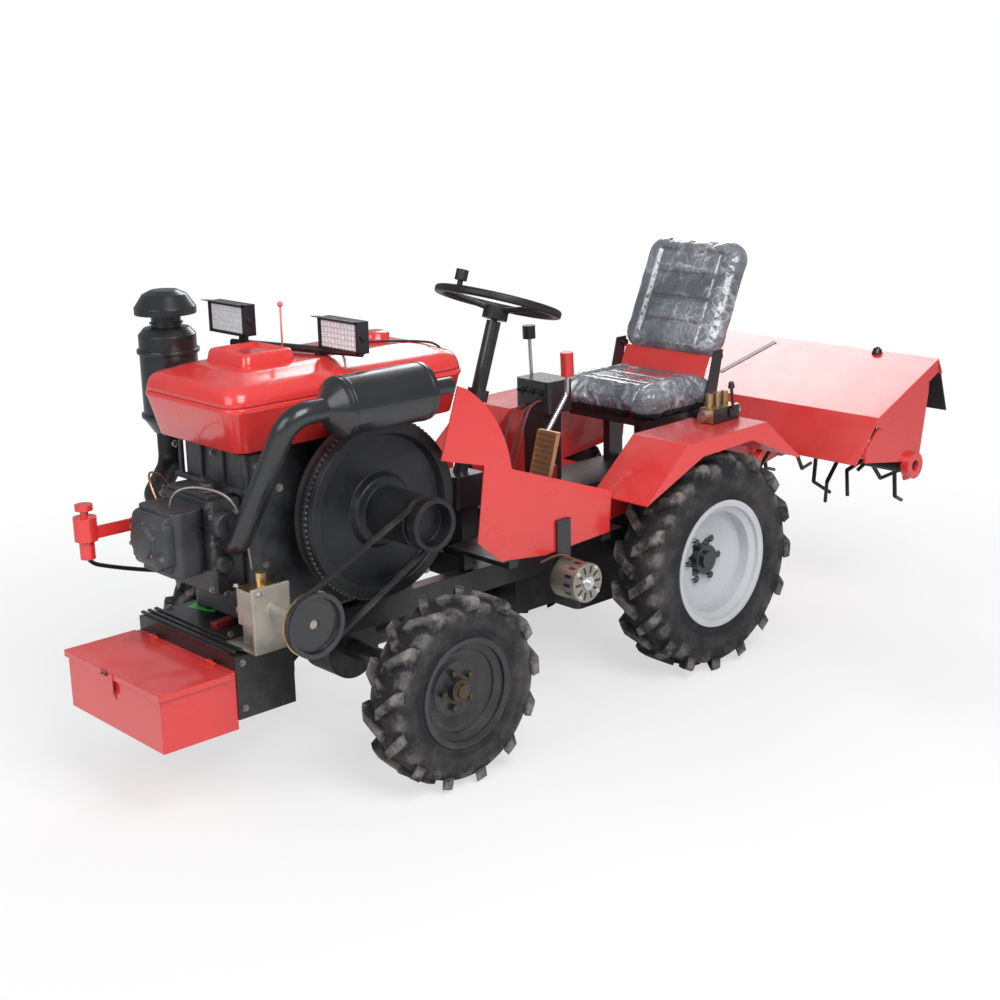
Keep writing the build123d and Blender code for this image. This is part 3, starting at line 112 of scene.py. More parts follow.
def make_stage():
    """Pale floor and world, and three soft lamps."""
    bpy.context.scene.view_settings.view_transform = "Standard"
    area_lamp("key_lamp", (1.5, 4.2, 4.6), (0.0, 0.0, 0.6), 3.2, 260.0)
    area_lamp("front_lamp", (5.2, 0.6, 3.0), (0.3, 0.0, 0.6), 3.0, 90.0)
    area_lamp("back_lamp", (-4.2, -3.4, 4.2), (0.0, 0.0, 0.7), 3.0, 150.0)
    world = bpy.data.worlds.new("studio")
    bpy.context.scene.world = world
    world.use_nodes = True
    tree = world.node_tree
    join = tree.links.new
    tree.nodes.clear()
    output = tree.nodes.new("ShaderNodeOutputWorld")
    mixer = tree.nodes.new("ShaderNodeMixShader")
    light = tree.nodes.new("ShaderNodeBackground")
    seen = tree.nodes.new("ShaderNodeBackground")
    path = tree.nodes.new("ShaderNodeLightPath")
    light.inputs["Color"].default_value = (0.90, 0.94, 1.0, 1.0)
    light.inputs["Strength"].default_value = 0.34
    seen.inputs["Color"].default_value = (1.0, 1.0, 1.0, 1.0)
    seen.inputs["Strength"].default_value = 1.0
    join(path.outputs["Is Camera Ray"], mixer.inputs["Fac"])
    join(light.outputs["Background"], mixer.inputs[1])
    join(seen.outputs["Background"], mixer.inputs[2])
    join(mixer.outputs["Shader"], output.inputs["Surface"])
    make_floor()


def make_floor():
    """A pale floor that keeps the shadow near the machine and goes white further out."""
    mesh = bpy.data.meshes.new("floor")
    half = 14.0
    mesh.from_pydata(
        [(-half, -half, 0), (half, -half, 0), (half, half, 0), (-half, half, 0)],
        [],
        [(0, 1, 2, 3)],
    )
    floor = bpy.data.objects.new("floor", mesh)
    bpy.context.scene.collection.objects.link(floor)
    surface = bpy.data.materials.new("pale_floor")
    surface.use_nodes = True
    tree = surface.node_tree
    join = tree.links.new
    shader = tree.nodes["Principled BSDF"]
    shader.inputs["Base Color"].default_value = (0.88, 0.88, 0.88, 1.0)
    shader.inputs["Roughness"].default_value = 0.9
    white = tree.nodes.new("ShaderNodeEmission")
    white.inputs["Color"].default_value = (1.0, 1.0, 1.0, 1.0)
    place = tree.nodes.new("ShaderNodeTexCoord")
    distance = tree.nodes.new("ShaderNodeVectorMath")
    distance.operation = "LENGTH"
    join(place.outputs["Object"], distance.inputs[0])
    fade = tree.nodes.new("ShaderNodeMapRange")
    fade.inputs["From Min"].default_value = 1.6
    fade.inputs["From Max"].default_value = 3.2
    fade.inputs["To Min"].default_value = 0.62
    fade.inputs["To Max"].default_value = 1.0
    join(distance.outputs["Value"], fade.inputs["Value"])
    path = tree.nodes.new("ShaderNodeLightPath")
    seen = tree.nodes.new("ShaderNodeMath")
    seen.operation = "MULTIPLY"
    join(path.outputs["Is Camera Ray"], seen.inputs[0])
    join(fade.outputs["Result"], seen.inputs[1])
    mixer = tree.nodes.new("ShaderNodeMixShader")
    join(seen.outputs["Value"], mixer.inputs["Fac"])
    join(shader.outputs["BSDF"], mixer.inputs[1])
    join(white.outputs["Emission"], mixer.inputs[2])
    join(mixer.outputs["Shader"], tree.nodes["Material Output"].inputs["Surface"])
    mesh.materials.append(surface)


class Finish:
    """A node-based material with named mixing steps in object space."""

    def __init__(self, name, roughness=0.5, metallic=0.0, coat=0.0, specular=0.5):
        self.material = bpy.data.materials.new(name)
        self.material.use_nodes = True
        self.tree = self.material.node_tree
        self.join = self.tree.links.new
        self.shader = self.tree.nodes["Principled BSDF"]
        self.shader.inputs["Roughness"].default_value = roughness
        self.shader.inputs["Metallic"].default_value = metallic
        self.shader.inputs["Coat Weight"].default_value = coat
        self.shader.inputs["Specular IOR Level"].default_value = specular
        self.shader.inputs["Coat Roughness"].default_value = 0.08
        coordinates = self.tree.nodes.new("ShaderNodeTexCoord")
        self.place = coordinates.outputs["Object"]
        self.bump_normal = None

    def node(self, kind, **values):
        made = self.tree.nodes.new(kind)
        for key, value in values.items():
            setattr(made, key, value)
        return made

    def noise(self, scale, detail=4.0, roughness=0.55, stretch=None):
        """A noise texture from 0 to 1, its pattern about 1/scale metres wide."""
        texture = self.node("ShaderNodeTexNoise")
        texture.inputs["Scale"].default_value = scale
        texture.inputs["Detail"].default_value = detail
        texture.inputs["Roughness"].default_value = roughness
        source = self.place
        if stretch:
            mapping = self.node("ShaderNodeMapping")
            mapping.inputs["Scale"].default_value = stretch
            self.join(self.place, mapping.inputs["Vector"])
            source = mapping.outputs["Vector"]
        self.join(source, texture.inputs["Vector"])
        return texture.outputs["Fac"]

    def ramp(self, source, low, high, low_value=0.0, high_value=1.0):
        """source between low and high becomes low_value to high_value."""
        step = self.node("ShaderNodeMapRange")
        step.inputs["From Min"].default_value = low
        step.inputs["From Max"].default_value = high
        step.inputs["To Min"].default_value = low_value
        step.inputs["To Max"].default_value = high_value
        self.join(source, step.inputs["Value"])
        return step.outputs["Result"]

    def times(self, first, second):
        step = self.node("ShaderNodeMath", operation="MULTIPLY")
        self.join(first, step.inputs[0])
        self.join(second, step.inputs[1])
        return step.outputs["Value"]

    def plus(self, first, second):
        step = self.node("ShaderNodeMath", operation="ADD")
        step.use_clamp = True
        self.join(first, step.inputs[0])
        self.join(second, step.inputs[1])
        return step.outputs["Value"]

    def blend(self, share, first, second):
        """Mixes two colours, each a socket or a tuple, by share."""
        step = self.node("ShaderNodeMix", data_type="RGBA")
        self.join(share, step.inputs["Factor"])
        for value, socket in ((first, step.inputs[6]), (second, step.inputs[7])):
            if isinstance(value, tuple):
                socket.default_value = (*value, 1.0)
            else:
                self.join(value, socket)
        return step.outputs[2]

    def edges(self, radius=0.004):
        """1 along sharp edges and 0 on flat faces."""
        geometry = self.node("ShaderNodeNewGeometry")
        rounded = self.node("ShaderNodeBevel", samples=4)
        rounded.inputs["Radius"].default_value = radius
        match = self.node("ShaderNodeVectorMath", operation="DOT_PRODUCT")
        self.join(geometry.outputs["Normal"], match.inputs[0])
        self.join(rounded.outputs["Normal"], match.inputs[1])
        return self.ramp(match.outputs["Value"], 0.985, 0.90)

    def crests(self, low, high):
        """1 on the crests of a finely meshed shape and 0 in its hollows."""
        geometry = self.node("ShaderNodeNewGeometry")
        return self.ramp(geometry.outputs["Pointiness"], low, high)

    def facing_up(self):
        """1 where the surface looks up and 0 where it looks sideways or down."""
        geometry = self.node("ShaderNodeNewGeometry")
        split = self.node("ShaderNodeSeparateXYZ")
        self.join(geometry.outputs["Normal"], split.inputs["Vector"])
        return self.ramp(split.outputs["Z"], 0.25, 0.95)

    def height(self, low, high):
        """0 at the height low and 1 at the height high, in metres."""
        split = self.node("ShaderNodeSeparateXYZ")
        self.join(self.place, split.inputs["Vector"])
        return self.ramp(split.outputs["Z"], low, high)

    def soft_edges(self, radius):
        """Lets light run round the sharp edges as on bent sheet or a casting."""
        step = self.node("ShaderNodeBevel", samples=4)
        step.inputs["Radius"].default_value = radius
        self.bump_normal = step.outputs["Normal"]

    def colour(self, source):
        if isinstance(source, tuple):
            self.shader.inputs["Base Color"].default_value = (*source, 1.0)
        else:
            self.join(source, self.shader.inputs["Base Color"])

    def roughness(self, source):
        self.join(source, self.shader.inputs["Roughness"])

    def bump(self, source, strength, distance):
        step = self.node("ShaderNodeBump")
        step.inputs["Strength"].default_value = strength
        step.inputs["Distance"].default_value = distance
        self.join(source, step.inputs["Height"])
        if self.bump_normal is not None:
            self.join(self.bump_normal, step.inputs["Normal"])
        self.bump_normal = step.outputs["Normal"]
        self.join(self.bump_normal, self.shader.inputs["Normal"])


def enamel(name, main, deep, dust, roughness, dust_share=0.25, coat=0.3, grime_height=0.0, peel=0.05):
    """Sprayed enamel: slow shade changes, a film of dust on top, a few chips, orange peel."""
    finish = Finish(name, roughness=roughness, coat=coat)
    finish.soft_edges(0.0045)
    shade = finish.ramp(finish.noise(1.4, 2.0), 0.35, 0.7, 0.0, 0.6)
    tone = finish.blend(shade, main, deep)
    settled = finish.times(finish.facing_up(), finish.ramp(finish.noise(5.0, 5.0), 0.40, 0.80))
    dusty = finish.blend(finish.ramp(settled, 0.0, 1.0, 0.0, dust_share), tone, dust)
    chips = finish.times(finish.edges(0.003), finish.ramp(finish.noise(60.0, 3.0), 0.56, 0.62))
    worn = finish.blend(finish.ramp(chips, 0.0, 1.0, 0.0, 0.6), dusty, tuple(v * 0.35 for v in deep))
    if grime_height:
        low_band = finish.ramp(finish.height(grime_height, grime_height * 0.2), 0.0, 1.0, 0.0, 0.45)
        spots = finish.ramp(finish.noise(14.0, 8.0, 0.7), 0.45, 0.7)
        worn = finish.blend(finish.times(low_band, spots), worn, dust)
    finish.colour(worn)
    finish.roughness(finish.ramp(finish.noise(9.0, 3.0), 0.3, 0.7, roughness * 0.85, roughness * 1.25))
    finish.bump(finish.noise(180.0, 2.0), peel, 0.0004)
    finish.bump(finish.noise(3.0, 2.0), 0.06, 0.006)
    return finish.material


def casting(name, main, deep, stain, roughness=0.55, metallic=0.0, grain=180.0, depth=0.0012):
    """A sand casting: grainy skin, oil stains in random patches, lighter edges."""
    finish = Finish(name, roughness=roughness, metallic=metallic)
    finish.soft_edges(0.007)
    shade = finish.ramp(finish.noise(7.0, 5.0), 0.35, 0.68)
    tone = finish.blend(shade, main, deep)
    oily = finish.ramp(finish.noise(3.6, 6.0, 0.65), 0.52, 0.66, 0.0, 0.8)
    stained = finish.blend(oily, tone, stain)
    rubbed = finish.ramp(finish.times(finish.edges(), finish.noise(30.0)), 0.2, 0.6, 0.0, 0.5)
    finish.colour(finish.blend(rubbed, stained, tuple(min(1.0, v * 2.4) for v in main)))
    finish.roughness(finish.ramp(oily, 0.0, 0.8, roughness, roughness * 0.6))
    finish.bump(finish.noise(grain, 3.0, 0.6), 0.35, depth)
    finish.bump(finish.noise(20.0, 3.0), 0.15, 0.003)
    return finish.material


def rubber(name, main, dust, dust_share, roughness=0.75, grain=300.0):
    """Black rubber with fine grain and dust."""
    finish = Finish(name, roughness=roughness, specular=0.35)
    patches = finish.ramp(finish.noise(5.5, 7.0, 0.62), 0.48, 0.72, 0.0, dust_share)
    finish.colour(finish.blend(patches, main, dust))
    finish.bump(finish.noise(grain, 2.0), 0.25, 0.0006)
    finish.bump(finish.noise(35.0, 3.0), 0.12, 0.002)
    return finish.material


def tyre_rubber(name):
    """Tyre rubber: dry mud on the lugs' tops and edges, dust in random patches."""
    finish = Finish(name, roughness=0.82, specular=0.3)
    mud = (0.27, 0.25, 0.235)
    film = finish.ramp(finish.noise(6.0, 8.0, 0.66), 0.47, 0.72, 0.0, 0.55)
    dusty = finish.blend(film, (0.018, 0.018, 0.020), (0.10, 0.09, 0.085))
    caked = finish.times(finish.crests(0.50, 0.58), finish.ramp(finish.noise(16.0, 6.0, 0.7), 0.40, 0.56))
    finish.colour(finish.blend(finish.ramp(caked, 0.0, 1.0, 0.0, 0.75), dusty, mud))
    finish.bump(finish.noise(220.0, 3.0), 0.3, 0.001)
    finish.bump(finish.noise(40.0, 4.0), 0.25, 0.004)
    return finish.material


def bright_metal(name, main, roughness=0.25, streak=None, stain=(0.12, 0.10, 0.08), stain_share=0.2):
    """Bare or plated metal with fine brushing and small stains."""
    finish = Finish(name, roughness=roughness, metallic=1.0)
    spots = finish.ramp(finish.noise(18.0, 6.0, 0.65), 0.55, 0.72, 0.0, stain_share)
    finish.colour(finish.blend(spots, main, stain))
    brushing = finish.noise(90.0, 4.0, 0.6, streak or (1.0, 12.0, 1.0))
    finish.roughness(finish.ramp(brushing, 0.3, 0.7, roughness * 0.7, roughness * 1.6))
    finish.bump(brushing, 0.06, 0.0006)
    return finish.material


def make_materials():
    red = (0.74, 0.040, 0.036)
    deep_red = (0.64, 0.026, 0.025)
    pale_dust = (0.80, 0.30, 0.28)
    return {
        "red_paint": enamel("red_enamel", red, deep_red, pale_dust, 0.24, 0.30, 0.6),
        "front_tyre": tyre_rubber("front_tyre_rubber"),
        "rear_tyre": tyre_rubber("rear_tyre_rubber"),
        "black_rim": enamel("black_rim_enamel", (0.020, 0.020, 0.022), (0.012, 0.012, 0.013),
                            (0.11, 0.10, 0.09), 0.40, 0.3, 0.2, 0.45),
        "silver_rim": enamel("silver_rim_enamel", (0.55, 0.56, 0.58), (0.46, 0.47, 0.49),
                             (0.42, 0.38, 0.35), 0.38, 0.3, 0.2, 0.35),
        "black_frame": enamel("black_frame_enamel", (0.018, 0.018, 0.020), (0.010, 0.010, 0.011),
                              (0.11, 0.10, 0.09), 0.40, 0.25, 0.2, 0.6),
        "black_enamel": enamel("black_enamel", (0.016, 0.017, 0.019), (0.009, 0.009, 0.011),
                               (0.10, 0.10, 0.11), 0.30, 0.12, 0.35),
        "engine_grey": casting("engine_casting", (0.060, 0.063, 0.070), (0.030, 0.031, 0.035),
                               (0.010, 0.009, 0.009), 0.42),
        "flywheel_iron": casting("flywheel_casting", (0.030, 0.031, 0.034), (0.018, 0.018, 0.020),
                                 (0.008, 0.008, 0.008), 0.42, 0.4, 120.0, 0.0008),
        "hose_rubber": rubber("hose_rubber", (0.014, 0.014, 0.015), (0.12, 0.11, 0.10), 0.35, 0.5),
        "belt_rubber": rubber("belt_rubber", (0.016, 0.016, 0.017), (0.12, 0.11, 0.10), 0.5, 0.7),
        "pump_aluminium": casting("pump_casting", (0.46, 0.43, 0.36), (0.30, 0.28, 0.24),
                                  (0.10, 0.08, 0.06), 0.48, 0.45, 160.0, 0.0008),
        "alternator_aluminium": casting("alternator_casting", (0.36, 0.33, 0.28), (0.24, 0.22, 0.19),
                                        (0.09, 0.07, 0.05), 0.42, 0.7, 160.0, 0.0006),
        "lamp_lens": lens_material(),
        "wheel_plastic": rubber("wheel_plastic", (0.016, 0.016, 0.018), (0.10, 0.095, 0.09),
                                0.25, 0.42, 180.0),
        "lever_steel": bright_metal("lever_chrome", (0.70, 0.70, 0.70), 0.2),
        "pedal_zinc": bright_metal("pedal_zinc", (0.60, 0.36, 0.20), 0.35, stain_share=0.5),
        "seat_vinyl": film_material("seat_film"),
        "valve_brass": bright_metal("valve_zinc", (0.52, 0.38, 0.20), 0.35, stain_share=0.6),
        "tine_steel": casting("tine_steel", (0.035, 0.034, 0.034), (0.020, 0.019, 0.019),
                              (0.14, 0.08, 0.05), 0.45, 0.6, 90.0, 0.0008),
        "rod_chrome": bright_metal("rod_chrome", (0.75, 0.75, 0.75), 0.1, stain_share=0.05),
        "bolt_steel": bright_metal("bolt_steel", (0.30, 0.28, 0.26), 0.38, stain_share=0.5),
        "gear_iron": casting("gear_iron", (0.15, 0.15, 0.15), (0.09, 0.09, 0.09),
                             (0.03, 0.028, 0.025), 0.4, 0.7),
        "hub_brass": casting("hub_brass", (0.10, 0.075, 0.04), (0.05, 0.04, 0.03),
                             (0.015, 0.014, 0.013), 0.4, 0.5),
        "knob_black": plain("knob_black", (0.012, 0.012, 0.013), 0.3, coat=0.3),
        "knob_red": plain("knob_red", (0.60, 0.030, 0.030), 0.35, coat=0.3),
        "marker_pink": plain("marker_pink", (0.72, 0.16, 0.18), 0.4),
        "brass": bright_metal("small_brass", (0.72, 0.50, 0.24), 0.3, stain_share=0.4),
        "copper": bright_metal("small_copper", (0.66, 0.36, 0.20), 0.35, stain_share=0.4),
        "bright_steel": bright_metal("bright_steel", (0.66, 0.66, 0.66), 0.28, stain_share=0.35),
        "green_label": plain("green_card", (0.05, 0.42, 0.06), 0.5),
        "dark_red": plain("dark_red", (0.20, 0.020, 0.020), 0.4, coat=0.3),
        "cable_brown": plain("cable_brown", (0.16, 0.045, 0.035), 0.5),
        "lens_frame": plain("lens_frame", (0.015, 0.015, 0.016), 0.35, coat=0.2),
        "seat_underside": plain("seat_underside", (0.020, 0.020, 0.022), 0.6),
    }


def lens_material():
    """Clear lamp lens: square cells over the reflector, whose reflection is painted as pale cells with
    painted glints, and a faint painted glow.
    """
    finish = Finish("lamp_lens", roughness=0.12, coat=0.6)
    cells = finish.node("ShaderNodeTexVoronoi", feature="DISTANCE_TO_EDGE")
    cells.inputs["Scale"].default_value = 64.0
    cells.inputs["Randomness"].default_value = 0.0
    finish.join(finish.place, cells.inputs["Vector"])
    ribs = finish.ramp(cells.outputs["Distance"], 0.02, 0.20)
    # painted reflection and painted glints: the cells are pale where the reflector would mirror light
    painted_glints = finish.ramp(finish.noise(90.0, 3.0, 0.6), 0.35, 0.65)
    painted_reflector_colour = finish.blend(painted_glints, (0.50, 0.50, 0.52), (0.92, 0.92, 0.92))
    finish.colour(finish.blend(ribs, (0.34, 0.34, 0.36), painted_reflector_colour))
    finish.bump(ribs, 0.12, 0.001)
    # painted glow: the lens gives off a little light of its own
    finish.shader.inputs["Emission Color"].default_value = (0.9, 0.95, 1.0, 1.0)
    finish.shader.inputs["Emission Strength"].default_value = 0.20
    return finish.material


def film_material(name):
    """Grey vinyl under loose clear film: soft folds and fine creases in the bump, with painted highlights
    along the creases and a painted sheen in patches.
    """
    finish = Finish(name, roughness=0.22, coat=1.0, specular=0.6)
    folds = None
    for scale, width, share, stretch in (
        (9.0, 0.045, 0.55, (1.0, 1.9, 1.0)),
        (21.0, 0.05, 0.45, (1.7, 1.0, 1.0)),
        (48.0, 0.05, 0.30, None),
    ):
        field = finish.noise(scale, 1.5, 0.45, stretch)
        centred = finish.node("ShaderNodeMath", operation="SUBTRACT")
        centred.inputs[1].default_value = 0.5
        finish.join(field, centred.inputs[0])
        distance = finish.node("ShaderNodeMath", operation="ABSOLUTE")
        finish.join(centred.outputs["Value"], distance.inputs[0])
        line = finish.ramp(distance.outputs["Value"], 0.0, width, share, 0.0)
        folds = line if folds is None else finish.plus(folds, line)
    # painted highlight: where the fold lines cross these patches the colour turns pale, standing for light
    # caught by the creases
    patches = finish.ramp(finish.noise(7.0, 4.0, 0.6), 0.44, 0.66, 0.06, 0.9)
    # painted sheen: pale patches that stand for light on the film
    painted_haze_sheen = finish.ramp(finish.noise(4.5, 4.0, 0.6), 0.42, 0.72, 0.04, 0.36)
    painted_shine = finish.plus(finish.times(folds, patches), painted_haze_sheen)
    # the dark colour is the vinyl's own grey; the pale one is painted highlight
    finish.colour(finish.blend(painted_shine, (0.075, 0.080, 0.095), (0.60, 0.62, 0.66)))
    finish.bump(folds, 0.5, 0.004)
    finish.bump(finish.noise(14.0, 4.0, 0.6), 0.45, 0.012)
    return finish.material


def plain(name, main, roughness=0.4, metallic=0.0, coat=0.0, stain=0.15):
    """A small part's finish: one colour with slight stains and fine grain."""
    finish = Finish(name, roughness=roughness, metallic=metallic, coat=coat)
    spots = finish.ramp(finish.noise(25.0, 5.0, 0.6), 0.5, 0.75, 0.0, stain)
    finish.colour(finish.blend(spots, main, tuple(v * 0.3 for v in main)))
    finish.bump(finish.noise(240.0, 2.0), 0.1, 0.0004)
    return finish.material


def dress_nodes(materials):
    """Gives every CAD node the material of its slot."""
    slots = {row["node"]: row["material_slot"] for row in frame["record"]["subparts"]}
    for name, piece in frame["nodes"].items():
        piece.data.materials.clear()
        piece.data.materials.append(materials[slots[name]])


def paint(node, material, chosen):
    """Gives the faces of a CAD node whose middles pass a test another material."""
    data = frame["nodes"][node].data
    if material.name not in [kept.name for kept in data.materials]:
        data.materials.append(material)
    index = [kept.name for kept in data.materials].index(material.name)
    for face in data.polygons:
        if chosen(face.center):
            face.material_index = index


def in_box(low, high):
    """A test for points between two corners."""
    return lambda middle: all(low[axis] <= middle[axis] <= high[axis] for axis in range(3))


def in_ring(centre, radii, span):
    """A test for points between two radii and two values of y about a crosswise axle."""

    def test(middle):
        distance = math.hypot(middle.x - centre[0], middle.z - centre[1])
        return radii[0] <= distance <= radii[1] and span[0] <= middle.y <= span[1]

    return test


def paint_nuts(node, material, centre, radii, side):
    """Paints what stands proud of a wheel's disc between two radii."""
    near = in_ring(centre, radii, (-math.inf, math.inf))
    top = max(face.center.y * side for face in frame["nodes"][node].data.polygons if near(face.center))
    span = sorted((side * (top - 0.009), side * (top + 0.001)))
    paint(node, material, in_ring(centre, radii, span))


def at(x, y, z):
    """A point whose x is measured from the rear axle."""
    return (rear_axle_x + x, y, z)


def paint_details(materials):
    """Knobs, caps, fittings and linings in their own colours."""
    far = 9.0
    rows = (
        # node, material, lowest corner, highest corner
        ("control_levers", "knob_black", at(0.30, -0.1, 1.135), at(0.42, -0.02, far)),
        ("control_levers", "knob_red", at(0.30, 0.10, 1.035), at(0.45, 0.2, far)),
        ("hydraulic_pump", "brass", at(1.65, 0.21, 0.648), at(1.74, 0.29, far)),
        ("hydraulic_valve", "black_enamel", at(-0.185, 0.36, 0.80), at(-0.055, 0.44, 0.8968)),
        ("hydraulic_valve", "bright_steel", at(-0.30, 0.36, 0.80), at(-0.191, 0.44, 0.912)),
        ("hydraulic_valve", "bright_steel", at(-0.049, 0.36, 0.80), at(0.05, 0.44, 0.912)),
        ("exhaust_muffler", "bright_steel", at(1.70, 0.12, 0.66), at(1.80, 0.146, 0.82)),
        ("alternator", "black_enamel", at(0.5, 0.38, 0.53), at(0.8, 0.52, 0.7)),
    )
    for node, name, low, high in rows:
        paint(node, materials[name], in_box(low, high))
    crank = (rear_axle_x + crank_x, crank_z)
    pulley = (rear_axle_x + pump_pulley_x, pump_pulley_z)
    rear = (rear_axle_x, rear_axle_z)
    front = (rear_axle_x + front_axle_x, front_axle_z)
    black = materials["black_enamel"]
    hub_brass = materials["hub_brass"]
    paint("flywheel", materials["gear_iron"], in_ring(crank, (0.2575, 0.3), (0.2, 0.276)))
    paint("pump_pulley", materials["brass"], in_ring(pulley, (0.086, 0.1), (0.488, 0.498)))
    for side, name in ((1, "left"), (-1, "right")):
        span = sorted((side * 0.36, side * 0.60))
        paint("rim_rear_" + name, black, in_ring(rear, (0.0, 0.062), span))
        paint_nuts("rim_rear_" + name, black, rear, (0.062, 0.112), side)
        paint_nuts("rim_front_" + name, hub_brass, front, (0.036, 0.085), side)
        paint("rim_front_" + name, hub_brass, in_ring(front, (0.0, 0.030), span))


def new_piece(name, shape, material, body="machine", smooth=True):
    """Turns a bmesh into a piece of the machine that rides on a body."""
    mesh = bpy.data.meshes.new(name)
    shape.to_mesh(mesh)
    shape.free()
    piece = bpy.data.objects.new(name, mesh)
    bpy.context.scene.collection.objects.link(piece)
    mesh.materials.append(material)
    for face in mesh.polygons:
        face.use_smooth = smooth
    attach(piece, body)
    return piece


def add_bar(shape, start, end, radius, tip_radius=None, sides=20):
    """Adds a closed round bar or cone between two points."""
    start, end = Vector(start), Vector(end)
    run = end - start
    turn = run.to_track_quat("Z", "Y").to_matrix().to_4x4()
    place = Matrix.Translation((start + end) / 2) @ turn
    bmesh.ops.create_cone(
        shape,
        cap_ends=True,
        segments=sides,
        radius1=radius,
        radius2=radius if tip_radius is None else tip_radius,
        depth=run.length,
        matrix=place,
    )


def add_plate(shape, middle, size, turn=(0.0, 0.0, 0.0)):
    """Adds a box with this middle and size, turned by angles in radians."""
    rotation = Euler(turn).to_matrix().to_4x4()
    scale = Matrix.Diagonal((*size, 1.0))
    bmesh.ops.create_cube(shape, size=1.0, matrix=Matrix.Translation(middle) @ rotation @ scale)


def hose(name, radius, material, points, body="machine"):
    """A round hose or cable on one smooth curve along points measured from the rear axle."""
    curve = bpy.data.curves.new(name, "CURVE")
    curve.dimensions = "3D"
    curve.bevel_depth = radius
    curve.bevel_resolution = 3
    curve.resolution_u = 8
    curve.use_fill_caps = True
    spline = curve.splines.new("NURBS")
    spline.points.add(len(points) - 1)
    for knot, point in zip(spline.points, points):
        knot.co = (*at(*point), 1.0)
    spline.order_u = 3
    spline.use_endpoint_u = True
    curve.materials.append(material)
    piece = bpy.data.objects.new(name, curve)
    bpy.context.scene.collection.objects.link(piece)
    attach(piece, body)
    return piece


def bake(piece):
    """Gives a piece the mesh that its modifiers make and takes them off."""
    graph = bpy.context.evaluated_depsgraph_get()
    made = bpy.data.meshes.new_from_object(piece.evaluated_get(graph))
    piece.modifiers.clear()
    old = piece.data
    piece.data = made
    bpy.data.meshes.remove(old)


def blow_up(piece, cap):
    """Fills a pad with air as cloth and keeps each point within cap of where it began."""
    cloth = piece.modifiers.new("cloth", "CLOTH")
    cloth.settings.quality = 4
    cloth.settings.mass = 0.3
    cloth.settings.tension_stiffness = 12
    cloth.settings.compression_stiffness = 12
    cloth.settings.bending_stiffness = 0.4
    cloth.settings.use_pressure = True
    cloth.settings.uniform_pressure_force = 4.0
    cloth.settings.effector_weights.gravity = 0.0
    cloth.point_cache.frame_start = 1
    cloth.point_cache.frame_end = 20
    for step in range(1, 21):
        bpy.context.scene.frame_set(step)
    graph = bpy.context.evaluated_depsgraph_get()
    blown = piece.evaluated_get(graph).to_mesh()
    places = [point.co.copy() for point in blown.vertices]
    piece.evaluated_get(graph).to_mesh_clear()
    piece.modifiers.clear()
    bpy.context.scene.frame_set(1)
    middle = sum((new - old.co for new, old in zip(places, piece.data.vertices)), Vector()) / len(places)
    for point, place in zip(piece.data.vertices, places):
        move = place - point.co - middle
        if move.length > cap:
            move *= cap / move.length
        point.co += move


def soft_pad(name, node, size, corner, turn, cap, carve):
    """A stuffed seat pad with sewn channels, its front along local +Z."""
    shape = bmesh.new()
    bmesh.ops.create_cube(shape, size=1.0, matrix=Matrix.Diagonal((*size, 1.0)))
    upright = [edge for edge in shape.edges if abs(edge.verts[0].co.z - edge.verts[1].co.z) > size[2] / 2]
    bmesh.ops.bevel(shape, geom=upright, offset=corner, segments=8, profile=0.5, affect="EDGES")
    rims = [edge for edge in shape.edges if abs(edge.verts[0].co.z - edge.verts[1].co.z) < 1e-6]
    bmesh.ops.bevel(shape, geom=rims, offset=size[2] * 0.28, segments=4, profile=0.5, affect="EDGES")
    mesh = bpy.data.meshes.new(name)
    shape.to_mesh(mesh)
    shape.free()
    piece = bpy.data.objects.new(name, mesh)
    bpy.context.scene.collection.objects.link(piece)
    remesh = piece.modifiers.new("remesh", "REMESH")
    remesh.mode = "VOXEL"
    remesh.voxel_size = 0.006
    bake(piece)
    blow_up(piece, cap)
    rounding = piece.modifiers.new("rounding", "SUBSURF")
    rounding.levels = 1
    rounding.render_levels = 1
    bake(piece)
    normals = [point.normal.copy() for point in piece.data.vertices]
    for point, normal in zip(piece.data.vertices, normals):
        facing = max(0.0, normal.z)
        depth = carve(point.co.x, point.co.y) * min(1.0, facing * 1.6)
        fold = noise.noise(point.co * 26.0) * 0.0016 + noise.noise(point.co * 70.0) * 0.0006
        point.co += normal * fold - Vector((0.0, 0.0, depth))
    piece.matrix_world = turn
    piece.data.materials.clear()
    piece.data.materials.append(materials["seat_vinyl"])
    piece.data.materials.append(materials["seat_underside"])
    for face in piece.data.polygons:
        face.use_smooth = True
        face.material_index = 1 if face.center.z < -size[2] * 0.30 else 0
    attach(piece, "machine")
    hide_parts(node)


def channel(distance, width, depth):
    """A sewn channel's depth at this distance from its line."""
    return depth * math.exp(-((distance / width) ** 2))


def carve_cushion(x, y):
    """Side bolsters and two cross seams; local x is forward, y to the left."""
    depth = channel(abs(y) - 0.150, 0.008, 0.013)
    if abs(y) < 0.150:
        for seam in (-0.090, 0.010, 0.105):
            depth = max(depth, channel(x - seam, 0.007, 0.009))
        depth += 0.006
    return depth


def carve_backrest(x, y):
    """Side bolsters and three cross panels; local x is across, y up the back."""
    depth = 0.0
    if -0.185 < y < 0.165:
        depth = channel(abs(x) - 0.142, 0.008, 0.013)
    if abs(x) < 0.142:
        for seam in (-0.105, -0.015, 0.075, 0.165):
            depth = max(depth, channel(y - seam, 0.007, 0.011))
        if -0.185 < y < 0.165:
            depth += 0.007
    return depth


